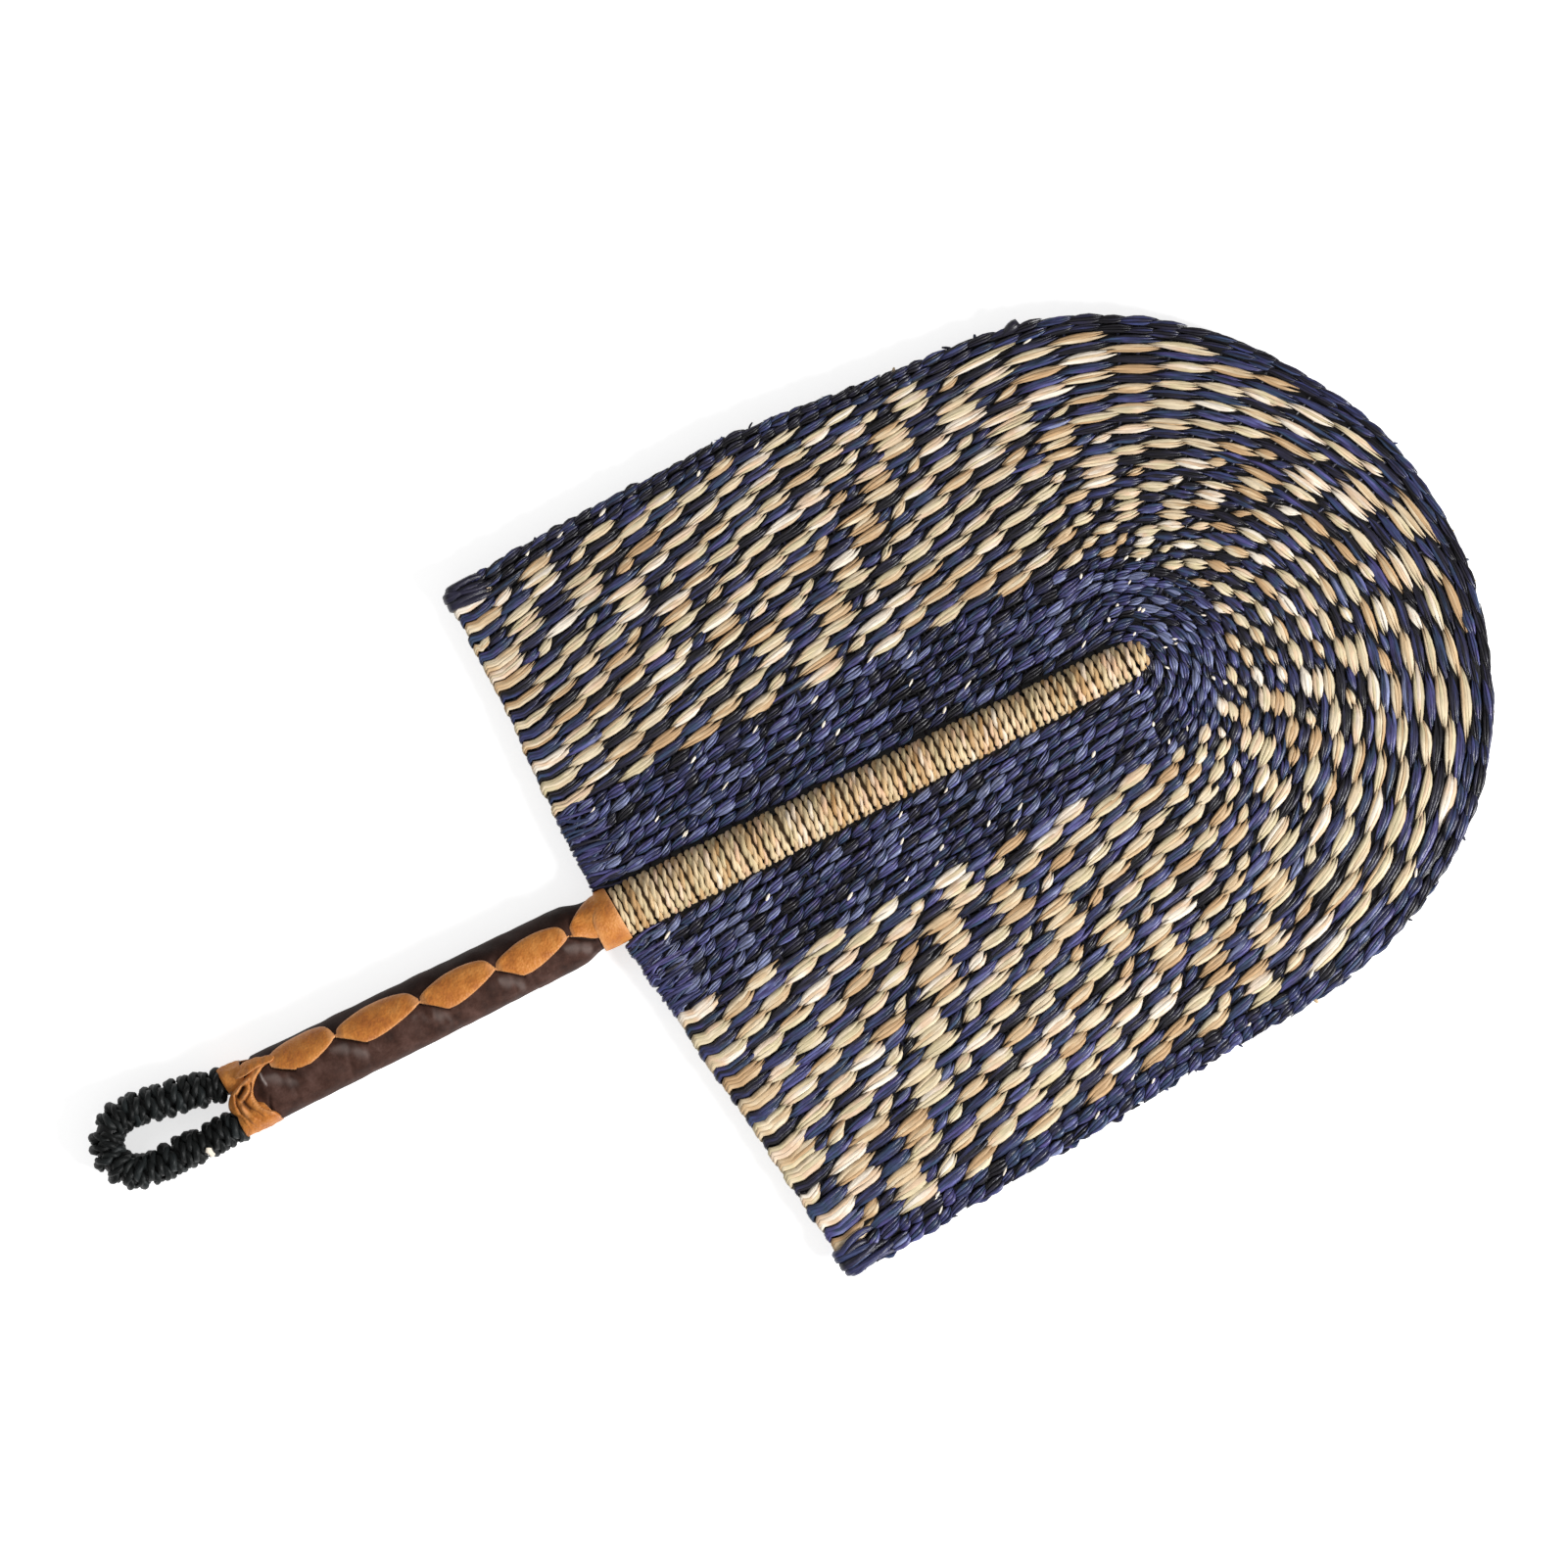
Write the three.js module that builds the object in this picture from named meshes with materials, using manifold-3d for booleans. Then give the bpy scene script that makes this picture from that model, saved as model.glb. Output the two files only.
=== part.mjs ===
// A handwoven straw hand fan: a blade of U-shaped rows twined over warp straws, a bound spine,
// a leather covered grip and a hanging loop.
//
// Millimetres. The fan lies on its back with its front facing +Z. +X runs along the spine from the
// loop to the tip, and +Y is the fan's left. Inside the builders below, x = 0 is the blade's left hem
// and z = 0 is the spine's axis. The finished group is moved so that the origin is the middle of the
// flat face under the grip.
import * as THREE from "three";
import { mergeVertices } from "three/addons/utils/BufferGeometryUtils.js";
import Module from "manifold-3d";

const wasm = await Module();
wasm.setup();

// Blade outline. A reach runs from the spine's axis, or in the dome from the point its rows turn round.
const hemToDome = 200;
const leftHemReach = 127;
const leftBellyReach = 131.5;
const leftShoulderReach = 125;
const leftQuarterReach = 119.5;
const tipReach = 123.5;
const rightQuarterReach = 132.5;
const rightShoulderReach = 136;
const rightBellyReach = 143;
const rightHemReach = 150.5;
const rightHemSetback = 2.5;
const rightHemSkew = 19;

// Weave: rows of straw twined in front of and behind the warps
const bladeThickness = 5;
const rowCount = 30;
const plainInnerRows = 7;
const plainOuterRows = 2;
const rowGap = 0.4;
const rowShoulder = 0.8;
const fineRowsFrom = 10;
const coarseDomeSteps = 8;
const fineDomeSteps = 14;
const warpThickness = 1.2;
const warpWidth = 1.2;
const warpEndInset = 1.6;
const domeWarps = 21;
const domeWarpRoot = 3;

// Spine: a tapering bundle of straw, bound with natural straw
const bundleRadiusAtHem = 7.2;
const bundleRadiusAtDome = 4.7;
const noseShoulder = 0.4;
const noseBends = [0, 0.22, 0.37, 0.47];
const spineTurns = 24;
const spineStrawThickness = 2;
const spineStrawSteps = 12;
const warpClearance = 0.45;

// A wound straw's section: its foot as a share of its width, its shoulder as a share of its half height
const strawFoot = 0.85;
const strawShoulder = 0.2;

// Grip: the same bundle inside a leather sleeve with a flat underside
const gripLength = 131;
const sleeveThickness = 1.1;
const sleeveHalfWidthAtLoop = 12.2;
const sleeveHalfWidthMiddle = 11.8;
const sleeveHalfWidthAtBlade = 10.9;
const sleeveHalfHeight = 11.2;
const restFlatDepth = 0.9;
const sleeveEndInset = 2;
const sleeveEndTaper = 9;
const sleeveEndRadius = 8.9;
const sleeveTaperSteps = 5;
const sleeveSides = 24;
const fitClearance = 0.3;

// Tan leather: collar at the blade, lacing along the front, cuffs at the loop
const strapThickness = 0.9;
const collarLength = 9.6;
const collarReachPastHem = 5.5;
const lacingLeaves = 4;
const leafLength = 27.7;
const lacingTail = 7.5;
const leafLeftReach = 5.4;
const leafRightReach = 6.4;
const leafNeckHalfWidth = 1.1;
const leafSteps = 8;
const leafPointShare = 0.3;
const leafRoundness = 0.6;
const lacingOffsetAtLoop = 6.2;
const lacingOffsetAtBlade = 0.6;
const cuffLength = 13.4;
const cuffWall = 1.3;
const cuffSwell = 0.7;
const cuffSides = 16;
const cuffStations = [0, 0.35, 0.7, 1];
const crossingWidth = 6;
const crossingHalfSpan = 4.4;

// Hanging loop: a bent straw rope, wound with black straw, whose two ends lie inside the grip
const loopLength = 45.3;
const loopSpread = 21.2;
const neckSpread = 15;
const legSeatSpread = 12.8;
const legDepth = 22;
const loopLean = 3;
const neckLeanShare = 0.1;
const legLeanShare = 0.6;
const bendDegrees = [0, 30, 60];
const loopCoreRadius = 4.2;
const loopCoreSteps = 40;
const loopSides = 10;
const loopTurns = 24;
const loopStrawThickness = 1.9;
const loopStrawGap = 0.6;
const loopStrawSteps = 10;
const loopStrawSeat = 0.6;

const navyStraw = { color: 0x2a2d52, roughness: 0.62, metalness: 0 };
const mixedStraw = { color: 0x83745f, roughness: 0.66, metalness: 0 };
const naturalStraw = { color: 0xcdb083, roughness: 0.68, metalness: 0 };
const blackStraw = { color: 0x1c1f24, roughness: 0.6, metalness: 0 };
const darkLeather = { color: 0x432a29, roughness: 0.45, metalness: 0 };
const tanLeather = { color: 0xb26a2b, roughness: 0.5, metalness: 0 };

const halfTurn = Math.PI;
const fullTurn = 2 * Math.PI;
const mix = THREE.MathUtils.lerp;
const up = new THREE.Vector3(0, 0, 1);
const alongSpine = new THREE.Vector3(1, 0, 0);

// Shared mesh builders

// Triangles between rings of equally many points; each ring closes on itself.
function skin(rings, closed) {
  const perRing = rings[0].length;
  const triangles = [];
  const ringPairs = closed ? rings.length : rings.length - 1;
  for (let ring = 0; ring < ringPairs; ring += 1) {
    const here = ring * perRing;
    const next = ((ring + 1) % rings.length) * perRing;
    for (let side = 0; side < perRing; side += 1) {
      const other = (side + 1) % perRing;
      triangles.push(here + side, here + other, next + side);
      triangles.push(here + other, next + other, next + side);
    }
  }
  return triangles;
}

function signedVolume(points, triangles) {
  let sum = 0;
  for (let i = 0; i < triangles.length; i += 3) {
    const [a, b, c] = [points[triangles[i]], points[triangles[i + 1]], points[triangles[i + 2]]];
    sum += a.dot(b.clone().cross(c));
  }
  return sum / 6;
}

// A closed geometry whose faces point outwards, whichever way its rings were listed.
function closedGeometry(points, triangles) {
  const facing = signedVolume(points, triangles) < 0 ? [...triangles].reverse() : triangles;
  const geometry = new THREE.BufferGeometry();
  const places = points.flatMap((point) => point.toArray());
  geometry.setAttribute("position", new THREE.Float32BufferAttribute(places, 3));
  geometry.setIndex(facing);
  geometry.computeVertexNormals();
  return geometry;
}

// A solid through a list of rings. Its ends are covered by triangles that zigzag between a ring's low and
// high corners, which suits a thin curved band as well as a round section.
function loft(rings) {
  const perRing = rings[0].length;
  const triangles = skin(rings, false);
  const lastStart = (rings.length - 1) * perRing;
  let [low, high] = [0, perRing - 1];
  while (high - low > 1) {
    const fromLow = low + high === perRing - 1;
    const middle = fromLow ? low + 1 : high - 1;
    triangles.push(low, high, middle);
    triangles.push(lastStart + low, lastStart + middle, lastStart + high);
    if (fromLow) low = middle;
    else high = middle;
  }
  return closedGeometry(rings.flat(), triangles);
}

// A solid that runs through a closed chain of rings.
function hoop(rings) {
  return closedGeometry(rings.flat(), skin(rings, true));
}

// An open pipe: along its outer rings and back along its bore.
function pipe(outer, bore) {
  return hoop([...outer, ...[...bore].reverse()]);
}

function toSolid(geometry) {
  const bare = geometry.clone();
  bare.deleteAttribute("normal");
  bare.deleteAttribute("uv");
  const merged = mergeVertices(bare, 1e-4);
  return new wasm.Manifold(new wasm.Mesh({
    numProp: 3,
    vertProperties: merged.attributes.position.array,
    triVerts: new Uint32Array(merged.index.array),
  }));
}

function fromSolid(solid) {
  const mesh = solid.getMesh();
  const geometry = new THREE.BufferGeometry();
  const places = new Float32Array(mesh.vertProperties);
  geometry.setAttribute("position", new THREE.BufferAttribute(places, 3));
  geometry.setIndex(new THREE.BufferAttribute(mesh.triVerts, 1));
  geometry.computeVertexNormals();
  return geometry;
}

// A round ring square to X.
function ring(x, radius, sides) {
  return Array.from({ length: sides }, (_, side) => {
    const angle = (side / sides) * fullTurn;
    return new THREE.Vector3(x, radius * Math.cos(angle), radius * Math.sin(angle));
  });
}

// Spine sizes

const collarOuterRadius = sleeveEndRadius + fitClearance + strapThickness;
const collarStart = collarReachPastHem - collarLength;
const taperStart = collarStart - sleeveEndTaper;
const spineStart = collarReachPastHem + fitClearance;
const spineEnd = hemToDome - warpWidth;
const bundleRadius = (x) => mix(bundleRadiusAtHem, bundleRadiusAtDome, x / hemToDome);
const spineOuterRadius = (x) => bundleRadius(x) + fitClearance + spineStrawThickness;
const spineSlotAtHem = Math.max(collarOuterRadius, spineOuterRadius(0)) + fitClearance;
const spineSlotAtDome = spineOuterRadius(hemToDome) + fitClearance;

// Each turn moves along by the straw's own width and the gap that lets a warp through.
const spineWarpGap = warpWidth + 2 * warpClearance;
const spinePitch = (spineEnd - spineStart + spineWarpGap) / (spineTurns + 1);
const spineStrawHalfWidth = (spinePitch - spineWarpGap) / 2;
const spineFirstTurn = spineStart + spineStrawHalfWidth;

// Blade

// A station counts millimetres along a middle row: up the left side, round the dome and down the right.
const domeRun = halfTurn * tipReach;
const domeEnd = hemToDome + domeRun;
const rightHem = domeEnd + hemToDome;
const reachKeys = [
  [0, leftHemReach],
  [hemToDome / 2, leftBellyReach],
  [hemToDome, leftShoulderReach],
  [hemToDome + domeRun / 4, leftQuarterReach],
  [hemToDome + domeRun / 2, tipReach],
  [hemToDome + (domeRun * 3) / 4, rightQuarterReach],
  [domeEnd, rightShoulderReach],
  [domeEnd + hemToDome / 2, rightBellyReach],
  [rightHem, rightHemReach],
];

// A smooth cubic through the outline's keys.
function bladeReach(station) {
  const next = Math.max(1, reachKeys.findIndex(([at]) => at >= station));
  const slope = (key) => {
    const [before, after] = [Math.max(0, key - 1), Math.min(reachKeys.length - 1, key + 1)];
    return (reachKeys[after][1] - reachKeys[before][1]) / (reachKeys[after][0] - reachKeys[before][0]);
  };
  const [[fromAt, from], [toAt, to]] = [reachKeys[next - 1], reachKeys[next]];
  const run = toAt - fromAt;
  const t = (station - fromAt) / run;
  const ease = t * t * (3 - 2 * t);
  const leave = t * (1 - t) * (1 - t) * run * slope(next - 1);
  const arrive = t * t * (t - 1) * run * slope(next);
  return mix(from, to, ease) + leave + arrive;
}

// A point of the blade's middle plane: across is 0 at the spine and 1 at the edge, and outward is a
// further distance in millimetres.
function bladePoint(station, across, outward = 0) {
  if (station > hemToDome && station < domeEnd) {
    const angle = halfTurn * (0.5 - (station - hemToDome) / domeRun);
    const radius = mix(spineSlotAtDome, bladeReach(station), across) + outward;
    return new THREE.Vector3(hemToDome + radius * Math.cos(angle), radius * Math.sin(angle), 0);
  }
  const left = station <= hemToDome;
  const fromHem = left ? station : rightHem - station;
  const share = fromHem / hemToDome;
  const y = mix(mix(spineSlotAtHem, spineSlotAtDome, share), bladeReach(station), across) + outward;
  if (left) return new THREE.Vector3(fromHem, y, 0);
  return new THREE.Vector3(mix(rightHemSetback + rightHemSkew * across, hemToDome, share), -y, 0);
}

// One twined row: its front straw, its back straw and the turns at both hems, round a slot for the warps.
function weftRow(index) {
  const slot = warpThickness / 2 + fitClearance;
  const surface = bladeThickness / 2;
  const domeSteps = index < fineRowsFrom ? coarseDomeSteps : fineDomeSteps;
  const domeStations = Array.from({ length: domeSteps + 1 }, (_, step) =>
    mix(hemToDome, domeEnd, step / domeSteps));
  const hems = [surface, rightHem - surface];
  const stations = [hems[0], hemToDome / 2, ...domeStations, domeEnd + hemToDome / 2, hems[1]];
  const corners = [
    [index / rowCount, rowGap / 2, slot],
    [index / rowCount, rowGap / 2 + rowShoulder, surface],
    [(index + 1) / rowCount, -rowGap / 2 - rowShoulder, surface],
    [(index + 1) / rowCount, -rowGap / 2, slot],
  ];
  const section = (station, facing) => corners.map(([across, outward, height]) =>
    bladePoint(station, across, outward).addScaledVector(facing, height));
  const towardsGrip = alongSpine.clone().negate();
  const down = up.clone().negate();
  return hoop([
    ...stations.map((station) => section(station, up)),
    section(hems[1], towardsGrip),
    ...[...stations].reverse().map((station) => section(station, down)),
    section(hems[0], towardsGrip),
  ]);
}

// A straight warp, as a thin bar between two points of the middle plane.
function warp(from, to) {
  const run = to.clone().sub(from);
  const bar = new THREE.BoxGeometry(run.length(), warpWidth, warpThickness);
  bar.applyQuaternion(new THREE.Quaternion().setFromUnitVectors(alongSpine, run.normalize()));
  bar.translate((from.x + to.x) / 2, (from.y + to.y) / 2, 0);
  return toSolid(bar);
}

// The warps of both sides leave the spine between two turns of its winding, left and right by turns.
function sideWarps() {
  const wallMiddle = bundleRadius(hemToDome / 2) + fitClearance + spineStrawThickness / 2;
  return Array.from({ length: 2 * spineTurns + 1 }, (_, half) => {
    const x = spineFirstTurn + (half / 2) * spinePitch;
    const left = half % 2 === 1;
    const share = left ? x / hemToDome : (x - rightHemSetback) / (hemToDome - rightHemSetback);
    const station = left ? x : rightHem - share * hemToDome;
    const end = bladePoint(station, 1, -warpEndInset);
    const crossing = new THREE.Vector3(x, left ? wallMiddle : -wallMiddle, 0);
    const backwards = crossing.clone().sub(end).normalize();
    return warp(crossing.addScaledVector(backwards, wallMiddle), end);
  });
}

function domeWarpBars() {
  return Array.from({ length: domeWarps }, (_, index) => {
    const station = hemToDome + ((index + 0.5) / domeWarps) * domeRun;
    const end = bladePoint(station, 1, -warpEndInset);
    const centre = new THREE.Vector3(hemToDome, 0, 0);
    const root = centre.clone().addScaledVector(end.clone().sub(centre).normalize(), domeWarpRoot);
    return warp(root, end);
  });
}

// The straws' shared bundle, from inside the grip to the nose, with every warp that leaves it.
function warpBundle() {
  const gripFit = sleeveThickness + fitClearance;
  const behindLegs = -gripLength + legDepth + fitClearance;
  const inSleeve = [behindLegs, -gripLength / 2, taperStart, collarStart, -sleeveEndInset];
  const rings = inSleeve.map((x) => sleeveRing(x, -gripFit));
  rings.push(ring(0, bundleRadius(0), sleeveSides));
  rings.push(ring(spineEnd, bundleRadius(spineEnd), sleeveSides));
  const noseStart = spineEnd + fitClearance;
  const noseLength = hemToDome + spineSlotAtDome - noseShoulder - noseStart;
  const noseRadius = spineOuterRadius(hemToDome) - noseShoulder;
  for (const bend of noseBends) {
    const x = noseStart + noseLength * Math.sin(bend * halfTurn);
    rings.push(ring(x, noseRadius * Math.cos(bend * halfTurn), sleeveSides));
  }
  return fromSolid(wasm.Manifold.union([toSolid(loft(rings)), ...sideWarps(), ...domeWarpBars()]));
}

// Windings

// A flat bottomed, ridged straw section spanned by two directions: along the wound piece and out of it.
function strawSection(centre, along, outward, halfWidth, thickness) {
  const half = thickness / 2;
  const shoulder = half * strawShoulder;
  return [[-strawFoot, -half], [strawFoot, -half], [1, shoulder], [0, half], [-1, shoulder]]
    .map(([side, height]) => centre.clone()
      .addScaledVector(along, side * halfWidth)
      .addScaledVector(outward, height));
}

// The least distance between the corners of a wound straw's sections that lie half a turn or more apart.
function leastGap(rings, stepsPerTurn) {
  let least = Infinity;
  for (let first = 0; first < rings.length; first += 1) {
    for (let second = first + stepsPerTurn / 2; second < rings.length; second += 1) {
      for (const a of rings[first]) {
        for (const b of rings[second]) least = Math.min(least, a.distanceTo(b));
      }
    }
  }
  return least;
}

function spineWinding() {
  return Array.from({ length: spineTurns * spineStrawSteps + 1 }, (_, step) => {
    const turn = step / spineStrawSteps;
    const outward = new THREE.Vector3(0, Math.cos(turn * fullTurn), Math.sin(turn * fullTurn));
    const x = spineFirstTurn + turn * spinePitch;
    const centre = outward.clone().multiplyScalar(spineOuterRadius(x) - spineStrawThickness / 2).setX(x);
    return strawSection(centre, alongSpine, outward, spineStrawHalfWidth, spineStrawThickness);
  });
}

// The loop's centreline, from its end inside the grip on the left, round the tip and back on the right.
function loopLine() {
  const neck = -gripLength - cuffLength;
  const bendRadius = loopSpread / 2;
  const side = [
    [legDepth + cuffLength, legSeatSpread, 0],
    [cuffLength, legSeatSpread, 0],
    [0, neckSpread, neckLeanShare],
    [(bendRadius - loopLength) / 2, (neckSpread + 2 * loopSpread) / 3, legLeanShare],
    ...bendDegrees.map((degrees) => {
      const turn = THREE.MathUtils.degToRad(degrees);
      return [bendRadius - loopLength - bendRadius * Math.sin(turn), loopSpread * Math.cos(turn), 1];
    }),
  ];
  const place = ([x, spread, lean], sign) =>
    new THREE.Vector3(neck + x, (sign * spread) / 2 + loopLean * lean, 0);
  return new THREE.CatmullRomCurve3([
    ...side.map((key) => place(key, 1)),
    place([-loopLength, 0, 1], 1),
    ...[...side].reverse().map((key) => place(key, -1)),
  ], false, "centripetal");
}

const loopCurve = loopLine();

// The loop's own directions at a share of its length: out of the hoop, in its plane.
function loopOutward(share) {
  const tangent = loopCurve.getTangentAt(share);
  return new THREE.Vector3(-tangent.y, tangent.x, 0).normalize();
}

function loopCore() {
  return loft(Array.from({ length: loopCoreSteps + 1 }, (_, step) => {
    const share = step / loopCoreSteps;
    return Array.from({ length: loopSides }, (__, side) => {
      const angle = (side / loopSides) * fullTurn;
      return loopCurve.getPointAt(share)
        .addScaledVector(loopOutward(share), loopCoreRadius * Math.cos(angle))
        .addScaledVector(up, loopCoreRadius * Math.sin(angle));
    });
  }));
}

// How far along the loop's line, as a share of its length, a leg comes out of its cuff.
function cuffShare() {
  let share = 0;
  while (loopCurve.getPointAt(share).x > -gripLength - cuffLength) share += 0.001;
  return share;
}

// The straw's width follows the room between its turns, which is least inside the hoop.
function loopWinding() {
  const start = cuffShare();
  const pitch = (1 - 2 * start) / (loopTurns + 1);
  const reach = loopCoreRadius + loopStrawSeat;
  const spot = (turn, height) => {
    const share = start + pitch * (0.5 + turn);
    const outward = loopOutward(share).multiplyScalar(Math.cos(turn * fullTurn));
    outward.addScaledVector(up, Math.sin(turn * fullTurn));
    return { share, outward, point: loopCurve.getPointAt(share).addScaledVector(outward, reach + height) };
  };
  return Array.from({ length: loopTurns * loopStrawSteps + 1 }, (_, step) => {
    const turn = step / loopStrawSteps;
    const { share, outward, point } = spot(turn, loopStrawThickness / 2);
    const rooms = [-1, 1].flatMap((move) => [0, loopStrawThickness].map((height) =>
      spot(turn, height).point.distanceTo(spot(turn + move, height).point)));
    const halfWidth = (Math.min(...rooms) - loopStrawGap) / 2;
    return strawSection(point, loopCurve.getTangentAt(share), outward, halfWidth, loopStrawThickness);
  });
}

// Leather

const endTaper = (x) => THREE.MathUtils.smoothstep(x, taperStart, collarStart);

// The half width of the sleeve's outside at x, from the loop end up to the blade.
function sleeveHalfWidth(x) {
  const middle = -gripLength / 2;
  const body = x < middle
    ? mix(sleeveHalfWidthMiddle, sleeveHalfWidthAtLoop, x / middle - 1)
    : mix(sleeveHalfWidthAtBlade, sleeveHalfWidthMiddle, x / middle);
  return mix(body, sleeveEndRadius, endTaper(x));
}

const sleeveHeight = (x) => mix(sleeveHalfHeight, sleeveEndRadius, endTaper(x));

// A point on the outside of the sleeve at x, at an angle from +Y towards the front, lifted by an offset.
function sleevePoint(x, angle, lift = 0) {
  const y = (sleeveHalfWidth(x) + lift) * Math.cos(angle);
  const z = (sleeveHeight(x) + lift) * Math.sin(angle);
  return new THREE.Vector3(x, y, Math.max(z, restFlatDepth - sleeveHalfHeight - lift));
}

function sleeveRing(x, lift) {
  return Array.from({ length: sleeveSides }, (_, side) =>
    sleevePoint(x, ((side + 0.5) / sleeveSides) * fullTurn, lift));
}

function gripSleeve() {
  const stations = [1, 0.75, 0.5, 0.25].map((share) => -gripLength * share);
  for (let step = 0; step <= sleeveTaperSteps; step += 1) {
    stations.push(mix(taperStart, collarStart, step / sleeveTaperSteps));
  }
  stations.push(-sleeveEndInset);
  return pipe(stations.map((x) => sleeveRing(x, 0)), stations.map((x) => sleeveRing(x, -sleeveThickness)));
}

function bladeCollar() {
  const ends = [collarStart, collarReachPastHem];
  return pipe(
    ends.map((x) => ring(x, collarOuterRadius, sleeveSides)),
    ends.map((x) => ring(x, collarOuterRadius - strapThickness, sleeveSides)),
  );
}

// The lacing: a strip that narrows where it dives through each slit and opens into a leaf between them.
// A leaf is rounded towards the fan's left and comes to a point towards its right.
function lacing() {
  const end = collarStart - fitClearance;
  const lastSlit = end - lacingTail;
  const firstSlit = lastSlit - lacingLeaves * leafLength;
  const start = -gripLength + fitClearance;
  const step = leafLength / leafSteps;
  const stations = [start];
  for (let x = firstSlit; x < end - step / 2; x += step) stations.push(x);
  stations.push(end);
  return loft(stations.map((x) => {
    const leaf = THREE.MathUtils.euclideanModulo((x - firstSlit) / leafLength + 1e-6, 1);
    const rounded = Math.sin(halfTurn * leaf) ** leafRoundness;
    const pointed = leaf < leafPointShare ? leaf / leafPointShare : (1 - leaf) / (1 - leafPointShare);
    const leftReach = mix(leafNeckHalfWidth, leafLeftReach, rounded);
    const rightReach = mix(leafNeckHalfWidth, leafRightReach, pointed);
    const radius = (sleeveHalfWidth(x) + sleeveHeight(x)) / 2;
    const offset = mix(lacingOffsetAtBlade, lacingOffsetAtLoop, x / -gripLength);
    const angles = [-leftReach, -leftReach / 3, rightReach / 3, rightReach]
      .map((reach) => halfTurn / 2 + (reach - offset) / radius);
    return [
      ...angles.map((angle) => sleevePoint(x, angle, fitClearance)),
      ...[...angles].reverse().map((angle) => sleevePoint(x, angle, fitClearance + strapThickness)),
    ];
  }));
}

// The cuffs' shared outline at x: where a leg runs, and how high the leather stands there.
function cuffShape(x) {
  const share = (x + gripLength + cuffLength) / cuffLength;
  const legY = mix(neckSpread, legSeatSpread, share) / 2;
  const bore = loopCoreRadius + 2 * fitClearance;
  const height = mix(bore + cuffWall, sleeveHalfHeight - restFlatDepth, share ** cuffSwell);
  return { legY, bore, height };
}

// One leg's cuff: a round bore for the leg in a D that meets its twin at the middle of the grip.
function legCuff(side) {
  const stations = cuffStations.map((share) =>
    mix(-gripLength - cuffLength + fitClearance, -gripLength - fitClearance, share));
  const cuffRing = (x, halfOut, halfIn, halfHeight) => Array.from({ length: cuffSides }, (_, index) => {
    const angle = (index / cuffSides) * fullTurn;
    const across = (Math.cos(angle) > 0 ? halfOut : halfIn) * Math.cos(angle);
    return new THREE.Vector3(x, side * (cuffShape(x).legY + across), halfHeight * Math.sin(angle));
  });
  return pipe(
    stations.map((x) => {
      const { legY, bore, height } = cuffShape(x);
      return cuffRing(x, bore + cuffWall, legY - fitClearance / 2, height);
    }),
    stations.map((x) => {
      const { bore } = cuffShape(x);
      return cuffRing(x, bore, bore, bore);
    }),
  );
}

// The strap that crosses from cuff to cuff over the notch between them.
function crossingStrap() {
  const middle = -gripLength - cuffLength / 2;
  const stations = [-0.5, 0, 0.5].map((share) => middle + share * crossingWidth);
  return loft(stations.map((x) => {
    const { legY, height } = cuffShape(x);
    const surface = (y) => {
      const across = 1 - Math.max(Math.abs(y), crossingHalfSpan / 2) / legY;
      return height * Math.sqrt(1 - across * across) + 2 * fitClearance;
    };
    const spots = [-1, -0.5, 0.5, 1].map((share) => share * crossingHalfSpan);
    return [
      ...spots.map((y) => new THREE.Vector3(x, y, surface(y))),
      ...[...spots].reverse().map((y) => new THREE.Vector3(x, y, surface(y) + strapThickness)),
    ];
  }));
}

// Assembly

function piece(name, geometry, finish) {
  const mesh = new THREE.Mesh(geometry, new THREE.MeshStandardMaterial(finish));
  mesh.name = name;
  return mesh;
}

const blade = new THREE.Group();
for (let index = 0; index < rowCount; index += 1) {
  const plain = index < plainInnerRows || index >= rowCount - plainOuterRows;
  const name = `weft_row_${String(index + 1).padStart(2, "0")}`;
  blade.add(piece(name, weftRow(index), plain ? navyStraw : mixedStraw));
}
const spineRings = spineWinding();
const loopRings = loopWinding();
console.log(`spine winding: least gap to itself ${leastGap(spineRings, spineStrawSteps).toFixed(2)} mm`);
console.log(`loop winding: least gap to itself ${leastGap(loopRings, loopStrawSteps).toFixed(2)} mm`);
blade.add(piece("warp_bundle", warpBundle(), naturalStraw));
blade.add(piece("spine_winding", loft(spineRings), naturalStraw));

const grip = new THREE.Group();
grip.add(piece("grip_sleeve", gripSleeve(), darkLeather));
grip.add(piece("blade_collar", bladeCollar(), tanLeather));
grip.add(piece("lacing_strip", lacing(), tanLeather));
grip.add(piece("left_leg_cuff", legCuff(1), tanLeather));
grip.add(piece("right_leg_cuff", legCuff(-1), tanLeather));
grip.add(piece("crossing_strap", crossingStrap(), tanLeather));

const loop = new THREE.Group();
loop.add(piece("loop_core", loopCore(), naturalStraw));
loop.add(piece("loop_winding", loft(loopRings), blackStraw));

const fan = new THREE.Group();
fan.add(blade, grip, loop);
fan.position.set((gripLength - taperStart) / 2, 0, sleeveHalfHeight - restFlatDepth);

export default fan;
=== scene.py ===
"""A handwoven straw hand fan on a pale floor, seen from straight above.

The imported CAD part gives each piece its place. Every straw, winding and piece of leather is a surface
worked out with numpy, in metres, in the part's own frame: +X from the hanging loop to the blade's tip,
+Y to the fan's left, +Z out of its front.
"""

import logging
import math
from collections.abc import Callable
from dataclasses import dataclass, field
from enum import Enum

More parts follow.
